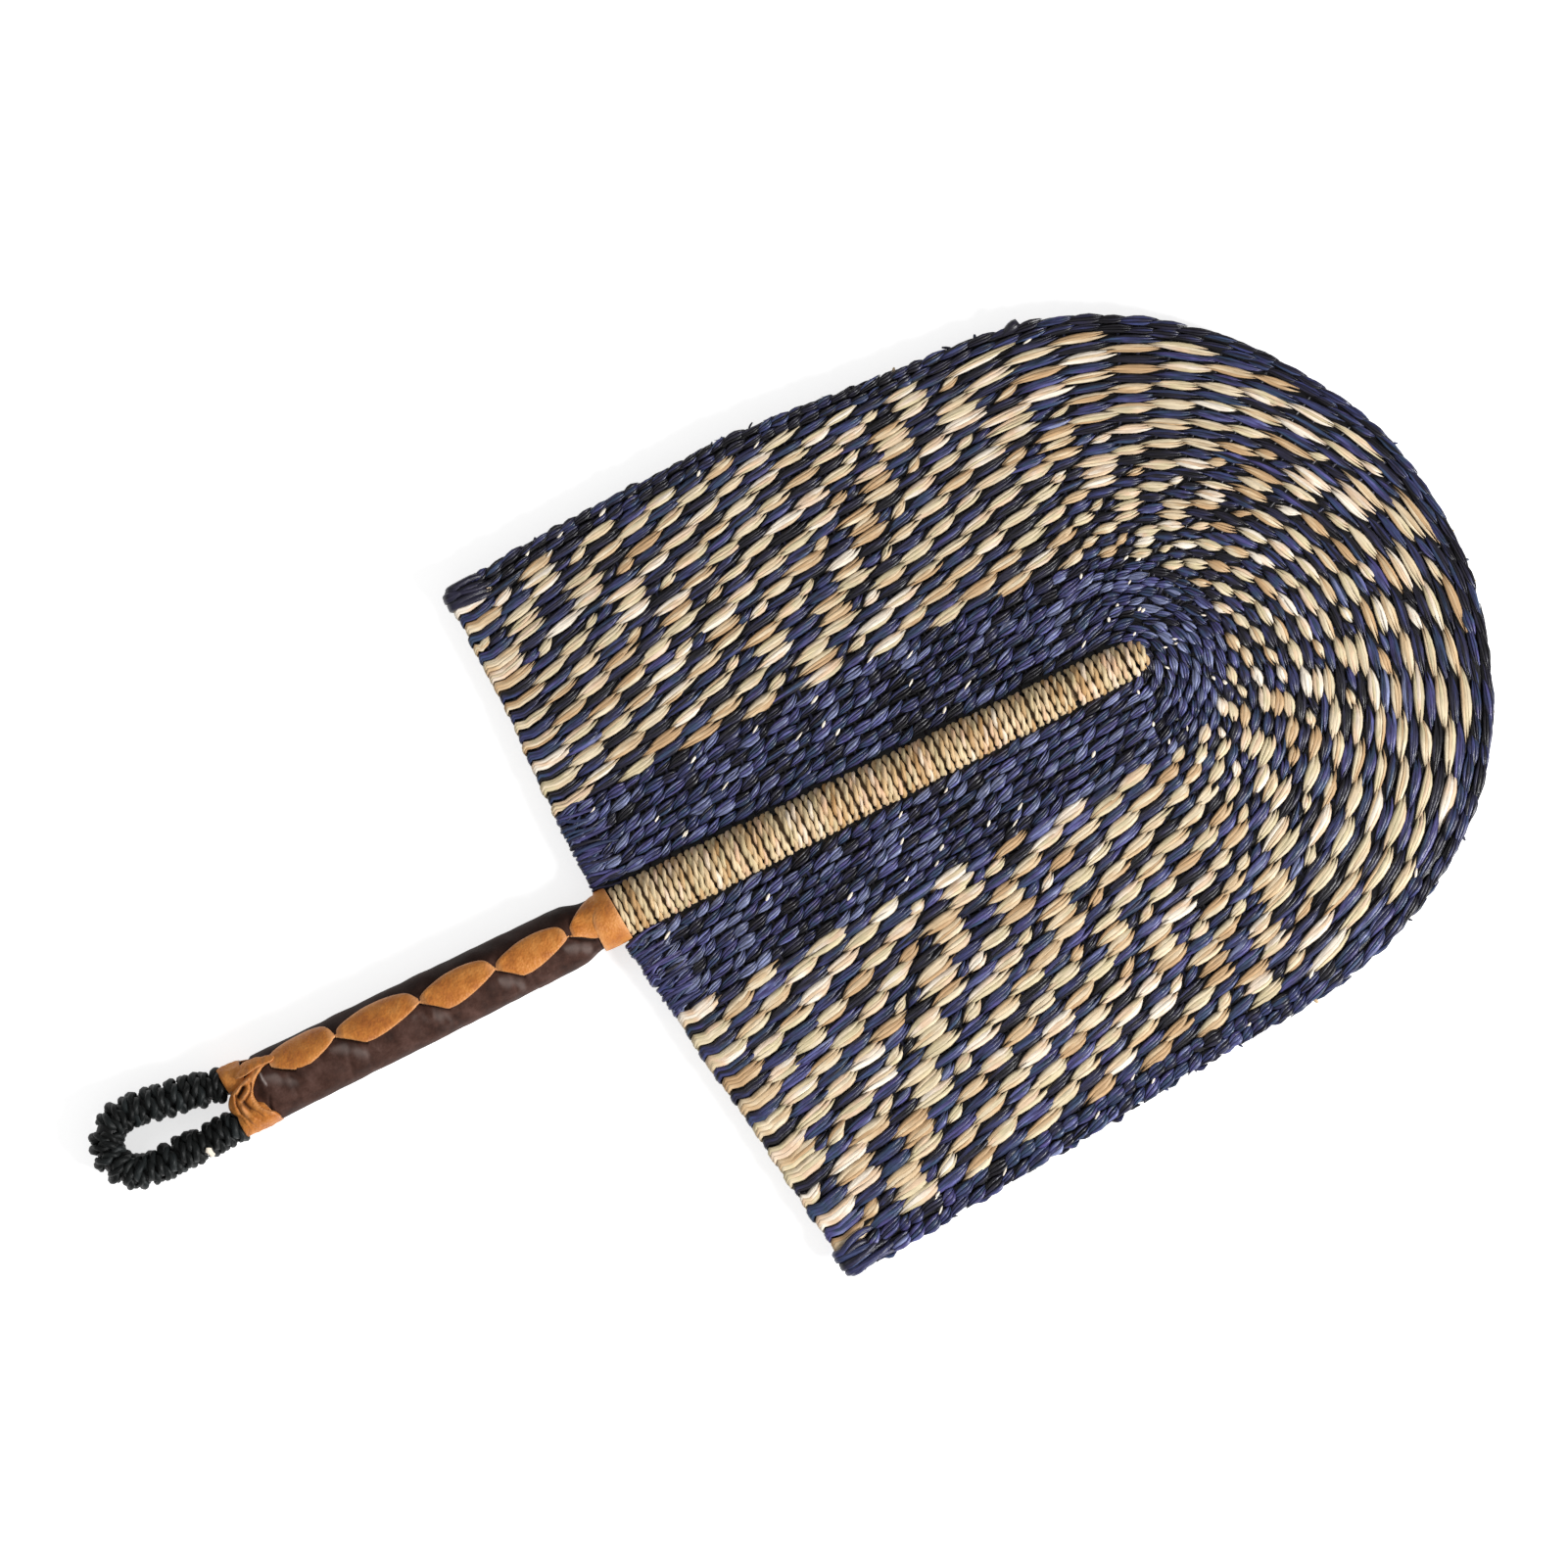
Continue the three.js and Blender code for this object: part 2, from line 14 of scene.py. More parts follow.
import bpy
import numpy as np
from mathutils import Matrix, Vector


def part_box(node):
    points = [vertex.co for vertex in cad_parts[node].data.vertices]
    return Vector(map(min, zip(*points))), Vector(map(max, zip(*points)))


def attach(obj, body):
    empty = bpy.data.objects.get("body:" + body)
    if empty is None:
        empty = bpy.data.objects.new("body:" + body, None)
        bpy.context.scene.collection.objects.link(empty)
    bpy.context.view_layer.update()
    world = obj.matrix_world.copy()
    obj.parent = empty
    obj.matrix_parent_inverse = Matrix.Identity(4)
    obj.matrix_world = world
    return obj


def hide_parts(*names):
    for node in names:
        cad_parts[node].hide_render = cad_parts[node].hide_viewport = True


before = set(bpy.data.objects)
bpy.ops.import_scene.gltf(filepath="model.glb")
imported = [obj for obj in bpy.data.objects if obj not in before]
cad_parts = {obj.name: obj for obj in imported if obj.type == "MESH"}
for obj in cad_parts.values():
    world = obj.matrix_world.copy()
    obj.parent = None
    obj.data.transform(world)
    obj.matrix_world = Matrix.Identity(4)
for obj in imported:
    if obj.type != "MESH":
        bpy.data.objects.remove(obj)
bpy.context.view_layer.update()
FIRST_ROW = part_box("weft_row_01")

LOG = logging.getLogger("fan")
MM = 0.001
TURN = 2 * math.pi
UP = np.array([0.0, 0.0, 1.0])
BODY = "root"

Array = np.ndarray
Material = bpy.types.Material
Pair = tuple[float, float]
Three = tuple[float, float, float]
Five = tuple[float, float, float, float, float]
Floats = tuple[float, ...]


class Side(Enum):
    """The fan's two sides, seen from the front with the loop at the bottom."""

    LEFT = 1
    RIGHT = -1


class Slot(Enum):
    """The record's material slots."""

    NAVY = "navy_straw"
    TWO_TONE = "two_tone_straw"
    NATURAL = "natural_straw"
    BLACK = "black_straw"
    DARK_LEATHER = "dark_leather"
    TAN_LEATHER = "tan_leather"


def linear(hex_colour: str) -> tuple[float, float, float, float]:
    """Turns an sRGB hex colour into linear red, green, blue and alpha.

    Args:
        hex_colour: Six hex digits.

    Returns:
        Four numbers from 0 to 1.
    """
    parts = [int(hex_colour[at : at + 2], 16) / 255 for at in (0, 2, 4)]
    parts = [p / 12.92 if p <= 0.04045 else ((p + 0.055) / 1.055) ** 2.4 for p in parts]
    return (*parts, 1.0)


def add_node(
    tree: bpy.types.NodeTree, kind: str, settings: dict, links: dict, output: int | str = 0
) -> bpy.types.NodeSocket | None:
    """Adds a shader node, sets its properties and sockets, and links it.

    Args:
        tree: The material's or world's node tree.
        kind: The node's type name, without the word ShaderNode.
        settings: Values by property name, or by socket name or number. "stops" holds a ramp's colours.
        links: The outputs that feed sockets, by socket name or number.
        output: The name or number of the output that is wanted.

    Returns:
        That output, or None for a node that has none.
    """
    node = tree.nodes.new("ShaderNode" + kind)
    for key, value in settings.items():
        if key == "stops":
            while len(node.color_ramp.elements) < len(value):
                node.color_ramp.elements.new(1.0)
            for element, (position, colour) in zip(node.color_ramp.elements, value):
                element.position = position
                element.color = linear(colour)
        elif isinstance(key, str) and hasattr(node, key):
            setattr(node, key, value)
        else:
            node.inputs[key].default_value = value
    for key, source in links.items():
        tree.links.new(source, node.inputs[key])
    return node.outputs[output] if node.outputs else None


def new_material(name: str) -> tuple[Material, bpy.types.NodeTree]:
    """Makes a material with an empty node tree.

    Args:
        name: The material's name.

    Returns:
        The material and its tree.
    """
    material = bpy.data.materials.new(name)
    material.use_nodes = True
    material.node_tree.nodes.clear()
    return material, material.node_tree


@dataclass(frozen=True)
class StrawFinish:
    """Dried grass straw, split and twisted by hand into strands.

    The splitting leaves long parallel fibres, which the eye reads as fine streaks and a soft sheen along
    the strand. Each stitch takes its own shade, as the straws in the bundle do. Real fibres are a tenth of
    a millimetre wide, too fine to show in the picture, so the streaks are drawn several times as coarse.
    A second mark paints shade: it mixes the colour towards the shadow colour where a strand is tucked
    under, along the sides of its splints, and over the dark cores, warps and bundle between the stitches.
    """

    name: str
    shades: tuple[str, ...]
    shadow: str
    roughness: float = 0.55
    gloss: float = 0.3
    sheen: float = 0.03
    fibre_width: float = 0.42 * MM
    fibre_length: float = 7 * MM
    streak_low: float = 0.62
    streak_high: float = 1.22
    bump: float = 0.5

    def material(self) -> Material:
        """Builds the node material from the finish's sizes and colours.

        Returns:
            The material.
        """
        material, tree = new_material(self.name)
        scale = (1 / self.fibre_length, 1 / self.fibre_width, 1.0)
        along = add_node(tree, "Mapping", {"Scale": scale}, {"Vector": add_node(tree, "UVMap", {}, {})})
        noise = {"Scale": 1.0, "Detail": 3.0, "Roughness": 0.6}
        streaks = add_node(tree, "TexNoise", noise, {"Vector": along})
        tone = add_node(tree, "Attribute", {"attribute_name": "tone"}, {}, "Fac")
        last = len(self.shades) - 1
        stops = [(index / last, shade) for index, shade in enumerate(self.shades)]
        shade = add_node(tree, "ValToRGB", {"stops": stops}, {"Fac": tone})
        span = {"From Min": 0.3, "From Max": 0.7, "To Min": self.streak_low, "To Max": self.streak_high}
        strength = add_node(tree, "MapRange", span, {"Value": streaks})
        streaked = add_node(tree, "VectorMath", {"operation": "SCALE"}, {0: shade, "Scale": strength})
        # Painted shade: this mark mixes the colour towards the shadow colour.
        tuck = add_node(tree, "Attribute", {"attribute_name": "tuck"}, {}, "Fac")
        over = {"data_type": "RGBA", 7: linear(self.shadow)}
        colour = add_node(tree, "Mix", over, {0: tuck, 6: streaked}, 2)
        relief = {"Strength": self.bump, "Distance": self.fibre_width}
        normal = add_node(tree, "Bump", relief, {"Height": streaks})
        skin = {"Roughness": self.roughness, "IOR": 1.5, "Specular IOR Level": self.gloss}
        skin["Sheen Weight"] = self.sheen
        surface = add_node(tree, "BsdfPrincipled", skin, {"Base Color": colour, "Normal": normal})
        add_node(tree, "OutputMaterial", {}, {"Surface": surface})
        return material


@dataclass(frozen=True)
class LeatherFinish:
    """Vegetable tanned goat leather, worked soft by hand.

    Tanning leaves a fine pebbled grain, handling leaves soft darker and lighter patches, and a cut edge
    shows paler than the face. The edge mark paints that paler edge, and also painted highlights, glints
    and sheen; a second mark paints shade in folds, slits and hollows, on insides and on an upper side.
    """

    name: str
    dark: str
    middle: str
    light: str
    edge: str
    painted_shade_colour: str
    roughness: float
    gloss: float = 0.3
    patch: float = 7 * MM
    grain: float = 0.9 * MM
    bump: float = 0.4

    def material(self) -> Material:
        """Builds the node material from the finish's sizes and colours.

        Returns:
            The material.
        """
        material, tree = new_material(self.name)
        place = add_node(tree, "TexCoord", {}, {}, "Object")
        noise = {"Scale": 1 / self.patch, "Detail": 7.0, "Roughness": 0.72}
        patches = add_node(tree, "TexNoise", noise, {"Vector": place})
        stops = [(0.36, self.dark), (0.5, self.middle), (0.64, self.light)]
        colour = add_node(tree, "ValToRGB", {"stops": stops}, {"Fac": patches})
        # The edge colour paints paler cut edges and painted highlights; the darkest colour paints shade.
        for mark, shade in (("edge", self.edge), ("tuck", self.painted_shade_colour)):
            share = add_node(tree, "Attribute", {"attribute_name": mark}, {}, "Fac")
            over = {"data_type": "RGBA", 7: linear(shade)}
            colour = add_node(tree, "Mix", over, {0: share, 6: colour}, 2)
        pebbles = add_node(tree, "TexVoronoi", {"Scale": 1 / self.grain}, {"Vector": place})
        pores = add_node(tree, "TexNoise", {"Scale": 2.5 / self.grain, "Detail": 2.0}, {"Vector": place})
        height = add_node(tree, "Math", {"operation": "MULTIPLY_ADD", 1: 0.5}, {0: pores, 2: pebbles})
        relief = {"Strength": self.bump, "Distance": self.grain / 2}
        normal = add_node(tree, "Bump", relief, {"Height": height})
        span = {"To Min": self.roughness - 0.1, "To Max": self.roughness + 0.12}
        wear_and_glint = add_node(tree, "MapRange", span, {"Value": patches})
        skin = {"IOR": 1.48, "Specular IOR Level": self.gloss}
        links = {"Base Color": colour, "Roughness": wear_and_glint, "Normal": normal}
        surface = add_node(tree, "BsdfPrincipled", skin, links)
        add_node(tree, "OutputMaterial", {}, {"Surface": surface})
        return material


# The dye takes unevenly, so the strands run from near black to a faded violet blue, with pale fibres.
NAVY_STRAW = StrawFinish(
    name="indigo_dyed_straw",
    shades=("121016", "201E30", "2C2F54", "27364C", "37325C", "484B76", "626886"),
    shadow="070508",
    roughness=0.36,
    gloss=0.4,
    fibre_width=0.8 * MM,
    fibre_length=10 * MM,
    streak_low=0.25,
    streak_high=2.35,
)
# Dried grass keeps some green and pink, and its outer skin stays pale and a little glossy.
NATURAL_STRAW = StrawFinish(
    name="undyed_straw",
    shades=("C6A278", "DBBF98", "ECDABB", "D6C7A0", "E8C8A8", "F8ECDA"),
    shadow="42290F",
    roughness=0.5,
    fibre_width=0.8 * MM,
    fibre_length=10 * MM,
    streak_low=0.7,
    streak_high=1.2,
)
# The same grass twisted hard, so the fibres run close together and the straw looks warmer.
BINDING_STRAW = StrawFinish(
    name="undyed_two_ply_straw",
    shades=("B68C5A", "D2B080", "E8CFA8", "C8B48A", "E2BA96", "F2E2CA"),
    shadow="5C3D1C",
    roughness=0.5,
    streak_low=0.72,
    streak_high=1.16,
)
# Black dye fills the fibres, and only their ridges catch the light.
BLACK_STRAW = StrawFinish(
    name="black_dyed_straw",
    shades=("060707", "0B0D0D", "121515", "1E2324"),
    shadow="020203",
    roughness=0.46,
    gloss=0.2,
    streak_low=0.5,
    streak_high=1.7,
)
# Undyed tanned leather: orange brown, smooth, with paler cut edges. The edge colour also paints
# highlights on the knot's crests, and the darkest colour paints shade in its valleys, under it and
# inside the cuffs.
TAN_LEATHER = LeatherFinish(
    name="tan_goat_leather",
    dark="A8622A",
    middle="BF7632",
    light="D08A44",
    edge="E2AC7C",
    painted_shade_colour="301206",
    roughness=0.46,
)
# Dark dyed leather, dulled by hands. Its pale edge colour paints a greyish sheen below the slits and a
# glint on a ridge, and its darkest colour paints shade in the slits, creases and seam, inside and on
# the upper side.
DARK_LEATHER = LeatherFinish(
    name="dark_brown_goat_leather",
    dark="2E1D18",
    middle="402A23",
    light="523A33",
    edge="C4B6B0",
    painted_shade_colour="140A08",
    roughness=0.6,
    gloss=0.1,
    patch=10 * MM,
    bump=0.16,
)


def waves(seed: int, places: Array, length: float, count: int = 7) -> Array:
    """Smooth noise: the mean of sine waves that run in random directions.

    Args:
        seed: Picks the directions and phases.
        places: Points, with their coordinates on the last axis.
        length: The waves' mean length.
        count: How many waves are added.

    Returns:
        Values from about -1 to 1, one for each point.
    """
    draw = np.random.default_rng(seed)
    directions = unit(draw.normal(size=(count, places.shape[-1])))
    turns = directions * (TURN / length) * draw.uniform(0.6, 1.5, size=(count, 1))
    phases = draw.uniform(0, TURN, size=count)
    return np.sin(places @ turns.T + phases).sum(-1) / math.sqrt(count) * 0.9


def cubic_through(knots: Array, values: Array, at: Array) -> Array:
    """A smooth curve through given values.

    Each piece is the cubic that meets both its values, with slopes taken from the neighbours on either side.

    Args:
        knots: Rising places.
        values: A value or a point for each.
        at: The places that are asked for.

    Returns:
        A value or a point for each place.
    """
    knots, values = np.asarray(knots, dtype=float), np.asarray(values, dtype=float)
    order = np.arange(len(knots))
    before, after = np.maximum(order - 1, 0), np.minimum(order + 1, len(knots) - 1)
    extra = (1,) * (values.ndim - 1)
    slopes = (values[after] - values[before]) / (knots[after] - knots[before]).reshape(-1, *extra)
    upper = np.clip(np.searchsorted(knots, at), 1, len(knots) - 1)
    lower = upper - 1
    run = knots[upper] - knots[lower]
    t = np.clip((at - knots[lower]) / run, 0, 1)
    t, run = t.reshape(t.shape + extra), run.reshape(t.shape + extra)
    eased = t * t * (3 - 2 * t)
    leave = t * (1 - t) ** 2 * run * slopes[lower]
    arrive = t * t * (t - 1) * run * slopes[upper]
    return values[lower] * (1 - eased) + values[upper] * eased + leave + arrive


def smooth_line(keys: Array, count: int) -> Array:
    """Spreads a count of points over the smooth curve through rows of keys."""
    return cubic_through(np.arange(len(keys)), keys, np.linspace(0, len(keys) - 1, count))


def walked(points: Array) -> Array:
    """The distances along a line of points, from 0 at its start."""
    return np.concatenate([[0.0], np.cumsum(np.linalg.norm(np.diff(points, axis=0), axis=1))])


def fade(value: Array, start: float, end: float) -> Array:
    """Eases from 0 at the start value to 1 at the end value."""
    t = np.clip((value - start) / (end - start), 0, 1)
    return t * t * (3 - 2 * t)


def near(away: Array, width: float) -> Array:
    """A soft bell: 1 at distance 0, and exp(-(distance / width)^2) away from it."""
    return np.exp(-((away / width) ** 2))


def unit(vectors: Array) -> Array:
    """Scales vectors to length one along their last axis."""
    return vectors / np.linalg.norm(vectors, axis=-1, keepdims=True)


def signed_power(value: Array, power: float) -> Array:
    """Raises a size to a power and keeps its sign."""
    return np.sign(value) * np.abs(value) ** power


def ring_angles(sides: int) -> Array:
    """Even angles once round a ring."""
    return np.arange(sides) / sides * TURN


def sweep(path: Array, wide: Array, thick: Array, width: Array, depth: Array, sides: int) -> Array:
    """Carries an oval along a path.

    A ring's point is its centre, plus the wide direction times the half width and the angle's cosine,
    plus the thick direction times the half thickness and the angle's sine.

    Args:
        path: The ring centres.
        wide: The unit vector of the oval's width, or one for each centre.
        thick: The same for its thickness.
        width: The half width, or one for each centre.
        depth: The half thickness, or one for each centre.
        sides: The points of each ring.

    Returns:
        Points as rings by sides by three.
    """
    angles = ring_angles(sides)
    across = np.multiply.outer(np.broadcast_to(width, len(path)), np.cos(angles))[..., None]
    out = np.multiply.outer(np.broadcast_to(depth, len(path)), np.sin(angles))[..., None]
    wide, thick = (np.broadcast_to(direction, path.shape)[:, None] for direction in (wide, thick))
    return path[:, None] + wide * across + thick * out


@dataclass
class Draft:
    """Gathers tubes into one mesh piece.

    A tube is a grid of points: a row of rings, each ring closed on itself. Its UV map counts metres along
    and around it, so a pattern keeps its real scale, and each tube starts at another place of the pattern.
    """

    points: list[Array] = field(default_factory=list)
    faces: list[list[int]] = field(default_factory=list)
    uvs: list[Array] = field(default_factory=list)
    finishes: list[Array] = field(default_factory=list)
    marks: dict[str, list[Array]] = field(default_factory=dict)
    count: int = 0
    pattern_stride: float = 0.618
    pattern_run: float = 7.0

    def tube(self, grid: Array, finish: int = 0, closed: bool = False, **marks: Array) -> None:
        """Adds a tube with covered ends.

        Each pair of neighbouring rings is joined by four-sided faces. An end that is open gets a middle
        point and a fan of triangles. The rings' areas, as vectors along the path, tell which way the rings
        turn, and with it the order of a face's corners that makes the faces point outwards.

        Args:
            grid: Points as rings by sides by three.
            finish: The number of the material that the faces take.
            closed: Whether the last ring joins the first.
            **marks: Named values: one number, one for each ring, or one for each ring and side.
        """
        rings, sides = grid.shape[:2]
        middles = grid.mean(1)
        steps = np.linalg.norm(np.diff(middles, axis=0, append=middles[:1]), axis=1)
        start = (self.count * self.pattern_stride) % self.pattern_run
        along = np.concatenate([[0.0], np.cumsum(steps)]) + start
        girth = np.linalg.norm(np.roll(grid, -1, 1) - grid, axis=2).sum(1).mean()
        ring = np.arange(rings if closed else rings - 1)[:, None]
        side = np.arange(sides)[None, :]
        here, after, beside = ring * sides, (ring + 1) % rings * sides, (side + 1) % sides
        corners = np.broadcast_arrays(here + side, after + side, after + beside, here + beside)
        quads = np.stack(corners, -1).reshape(-1, 4)
        around = side / sides * girth, (side + 1) / sides * girth
        low, high, first, second = np.broadcast_arrays(along[ring], along[ring + 1], *around)
        quad_uvs = np.stack([low, first, high, first, high, second, low, second], -1).reshape(-1, 4, 2)
        points = grid.reshape(-1, 3)
        values = {name: self.spread(value, rings, sides) for name, value in marks.items()}
        areas = np.cross(grid, np.roll(grid, -1, 1)).sum(1)
        order = -1 if (areas * np.gradient(middles, axis=0)).sum() > 0 else 1
        faces = (quads[:, ::order] + self.count).tolist()
        uvs = [quad_uvs[:, ::order].reshape(-1, 2)]
        if not closed:
            points = np.vstack([points, middles[0], middles[-1]])
            values = {name: np.append(value, [value[0], value[-1]]) for name, value in values.items()}
            spots, last = np.arange(sides), (rings - 1) * sides
            nexts = (spots + 1) % sides
            ends = [np.full(sides, rings * sides + end) for end in (0, 1)]
            first_cap = np.stack([ends[0], spots, nexts], -1)
            last_cap = np.stack([ends[1], last + nexts, last + spots], -1)
            faces += (np.vstack([first_cap, last_cap])[:, ::order] + self.count).tolist()
            uvs.append(np.zeros((6 * sides, 2)))
        self.points.append(points)
        self.faces += faces
        self.uvs += uvs
        self.finishes.append(np.full(len(faces), finish))
        for name, value in values.items():
            self.marks.setdefault(name, []).append(value)
        self.count += len(points)

    @staticmethod
    def spread(value: Array, rings: int, sides: int) -> Array:
        """Gives every point of a tube, ring by ring, its value of a mark."""
        value = np.asarray(value, dtype=float)
        return np.broadcast_to(value[:, None] if value.ndim == 1 else value, (rings, sides)).reshape(-1)

    def straw(self, parts: dict[str, Array], sides: int, finish: int = 0) -> None:
        """Adds a strand: its path, wide, thick, width and depth as in sweep, and its tone and painted shade
        marks.
        """
        grid = sweep(*(parts[key] for key in ("path", "wide", "thick", "width", "depth")), sides)
        self.tube(grid, finish, tone=parts["tone"], tuck=parts["tuck"])

    def place(self, name: str, materials: list[Material], slot: Slot, *nodes: str) -> None:
        """Makes the mesh object, which rides on the fan's body and stands for its CAD nodes.

        Args:
            name: The piece's name.
            materials: Its materials, in the order of the tubes' finish numbers.
            slot: The record's material slot; not used.
            *nodes: The CAD nodes that it stands for.
        """
        mesh = bpy.data.meshes.new(name)
        mesh.from_pydata(np.vstack(self.points), [], self.faces)
        mesh.uv_layers.new(name="UVMap").data.foreach_set("uv", np.vstack(self.uvs).ravel())
        for mark, values in self.marks.items():
            attribute = mesh.attributes.new(mark, "FLOAT", "POINT")
            attribute.data.foreach_set("value", np.concatenate(values))
        for material in materials:
            mesh.materials.append(material)
        mesh.polygons.foreach_set("material_index", np.concatenate(self.finishes).astype(np.int32))
        mesh.polygons.foreach_set("use_smooth", np.ones(len(mesh.polygons), dtype=bool))
        mesh.update()
        piece = bpy.data.objects.new(name, mesh)
        bpy.context.scene.collection.objects.link(piece)
        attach(piece, BODY)
        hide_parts(*nodes)
        LOG.info("%s: %d faces", name, len(mesh.polygons))


@dataclass(frozen=True)
class Outline:
    """The blade's outline and the rows' places in it, in metres.

    A station counts metres along a middle row, up the left side, round the dome and down the right side.
    The values in nines are for the two hems, the two ends of the dome and evenly between them: the edge's
    reach, how far the rows bend out, how far the columns drift towards the right hem, and their slant. The
    ripples are slow waves of the surface along X, Y and Z: a seed, a length and a height in millimetres.
    """

    hem_x: float = FIRST_ROW[0].x
    axis_z: float = (FIRST_ROW[0].z + FIRST_ROW[1].z) / 2
    hem_to_dome: float = 200 * MM
    reaches: Floats = (127, 131.5, 125, 119.5, 123.5, 132.5, 136, 143, 150.5)
    row_bends: Floats = (0.10, 0.13, 0.15, 0.175, 0.17, 0.02, -0.06, -0.07, -0.08)
    column_drifts: Floats = (0, -2, -6, -3.5, -4, -5, -7, -7.5, 0)
    column_slants: Floats = (0, -2, -7, 2, 5.5, 3.5, -12, -14, 0)
    slant_pivot: float = 0.57
    right_setback: float = 2.5 * MM
    right_skew: float = 19 * MM
    slot_at_hem: float = 10.4 * MM
    slot_at_dome: float = 7.3 * MM
    rows: int = 30
    ripples: tuple = ((11, 70, 0.35), (12, 80, 0.5), (13, 120, 0.7))
    probe: float = 0.004

    @property
    def origin(self) -> Array:
        """The point of the spine's axis that lies level with the left hem."""
        return np.array([self.hem_x, 0.0, self.axis_z])

    @property
    def dome_run(self) -> float:
        """The length of the dome's stretch of stations."""
        return math.pi * self.reaches[4] * MM

    @property
    def run(self) -> float:
        """The whole length of the stations, from the left hem to the right one."""
        return 2 * self.hem_to_dome + self.dome_run

    def keyed(self, values: Floats, station: Array) -> Array:
        """Runs a smooth cubic through nine values, from the left hem to the right one, at given stations."""
        halves = [self.hem_to_dome / 2] * 2
        return cubic_through(np.cumsum([0, *halves, *[self.dome_run / 4] * 4, *halves]), values, station)

    def reach(self, station: Array) -> Array:
        """The edge's distance from the spine at each station."""
        return self.keyed(self.reaches, station) * MM

    def slot(self, share: Array) -> Array:
        """The innermost row's distance from the spine, at a share of the way from a hem to the dome."""
        return self.slot_at_hem + (self.slot_at_dome - self.slot_at_hem) * np.clip(share, 0, 1)

    def place(self, station: Array, across: Array) -> Array:
        """Points of the blade's middle surface.

        Along the sides a point lies a share of the way from the spine's slot to the edge. In the dome the
        same share is measured from the point that the rows turn round. The hand has beaten the rows up
        unevenly: they lie further out than even ones would by bend times a(1 - a) for the share a. The
        columns drift along the rows, and slant times (a - pivot) more. Slow waves of under a millimetre
        keep the blade from being ruled and flat. They grow from nothing over its inner third.

        Args:
            station: Places along the blade.
            across: 0 at the spine and 1 at the edge.

        Returns:
            Points in the part's frame.
        """
        station, across = np.broadcast_arrays(station, across)
        slant = self.keyed(self.column_slants, station) * (across - self.slant_pivot)
        station = station + (self.keyed(self.column_drifts, station) + slant) * MM
        across = across + self.keyed(self.row_bends, station) * across * (1 - across)
        left = station <= self.hem_to_dome
        right = station >= self.hem_to_dome + self.dome_run
        share = np.where(left, station, self.run - station) / self.hem_to_dome
        slot = self.slot(share)
        distance = slot + (self.reach(station) - slot) * across
        turn = math.pi * (0.5 - (station - self.hem_to_dome) / self.dome_run)
        setback = self.right_setback + self.right_skew * across
        right_x = setback + (self.hem_to_dome - setback) * share
        x = np.where(left, station, np.where(right, right_x, self.hem_to_dome + distance * np.cos(turn)))
        y = np.where(left, distance, np.where(right, -distance, distance * np.sin(turn)))
        flat = np.stack([x, y], -1)
        ripples = [waves(seed, flat, length * MM) * height * MM for seed, length, height in self.ripples]
        x = x + ripples[0]
        y = y + ripples[1] * np.clip(across * 3, 0, 1)
        z = ripples[2] * np.clip(across * 3 - 0.3, 0, 1)
        return np.stack([x, y, z], -1) + self.origin

    def outward(self, station: Array, across: Array) -> Array:
        """Unit vectors from the spine towards the edge, in the blade's surface."""
        return unit(self.place(station, across + self.probe) - self.place(station, across - self.probe))

    def pitch(self, station: Array, across: Array) -> Array:
        """The width of one row, with the bend's stretch of it.

        Args:
            station: Places along the blade.
            across: 0 at the spine and 1 at the edge.

        Returns:
            A width for each place.
        """
        slot = self.slot(np.minimum(station, self.run - station) / self.hem_to_dome)
        bent = 1 + self.keyed(self.row_bends, station) * (1 - 2 * across)
        return (self.reach(station) - slot) / self.rows * bent


@dataclass(frozen=True)
class Twining:
    """How the strands of one kind of row lie.

    Widths, sways and overlaps are shares of the row and of the stitch. Values in fives are for the left
    hem, the quarters of the run and the right hem. The unevenness is how much the hand varies a stitch's
    width, height, sway, thickness and sideways place.
    """

    half_width: float
    sway: float
    shades: Five
    overlaps: Five = (0.34,) * 5
    splints: Floats = (-0.7, 0.0, 0.7)
    splint_share: float = 0.44
    loose: float = 0.6
    jitter: float = 0.1
    unevenness: Five = (0.16, 0.18, 0.25, 0.15, 0.08)
    core_half_thickness: float = 0.35 * MM
    hem_inset: float = 0.0
    hem_lift: float = 2.0
    hem_size: float = 0.62


FIGURED = Twining(
    half_width=0.4,
    sway=0.56,
    shades=(0.5, 0.5, 0.6, 0.76, 0.84),
    overlaps=(0.28, 0.25, 0.17, 0.27, 0.3),
    splints=(-0.62, 0.0, 0.62),
    splint_share=0.56,
    loose=1.0,
    jitter=0.045,
    unevenness=(0.09, 0.08, 0.15, 0.08, 0.03),
)
PLAIN = Twining(half_width=0.37, sway=0.46, shades=(1.05, 1.05, 1.1, 1.2, 1.2))
BORDER = Twining(
    half_width=0.44,
    sway=0.36,
    shades=(0.2, 0.25, 0.4, 0.75, 0.9),
    loose=0.2,
    core_half_thickness=1.0 * MM,
    hem_inset=0.2 * MM,
    hem_lift=3.0,
    hem_size=1.22,
)


@dataclass(frozen=True)
class Stitches:
    """The stitches of one strand: arrays with a row for each stitch, and nine columns or one.

    The columns are u, the places from -1 to 1 along a stitch. Facing is 1 in front and -1 behind, and
    wrapped marks the ends that go on round a hem. Middle, length and reach are in columns of the weave,
    width and swing in rows. Lift and depth scale a stitch's height and thickness.
    """

    row: int
    which: int
    natural: bool
    u: Array
    phase: Array
    facing: Array
    at_hem: Array
    wrapped: Array
    middle: Array
    length: Array
    reach: Array
    width: Array
    swing: Array
    lift: Array
    depth: Array
    tone: Array


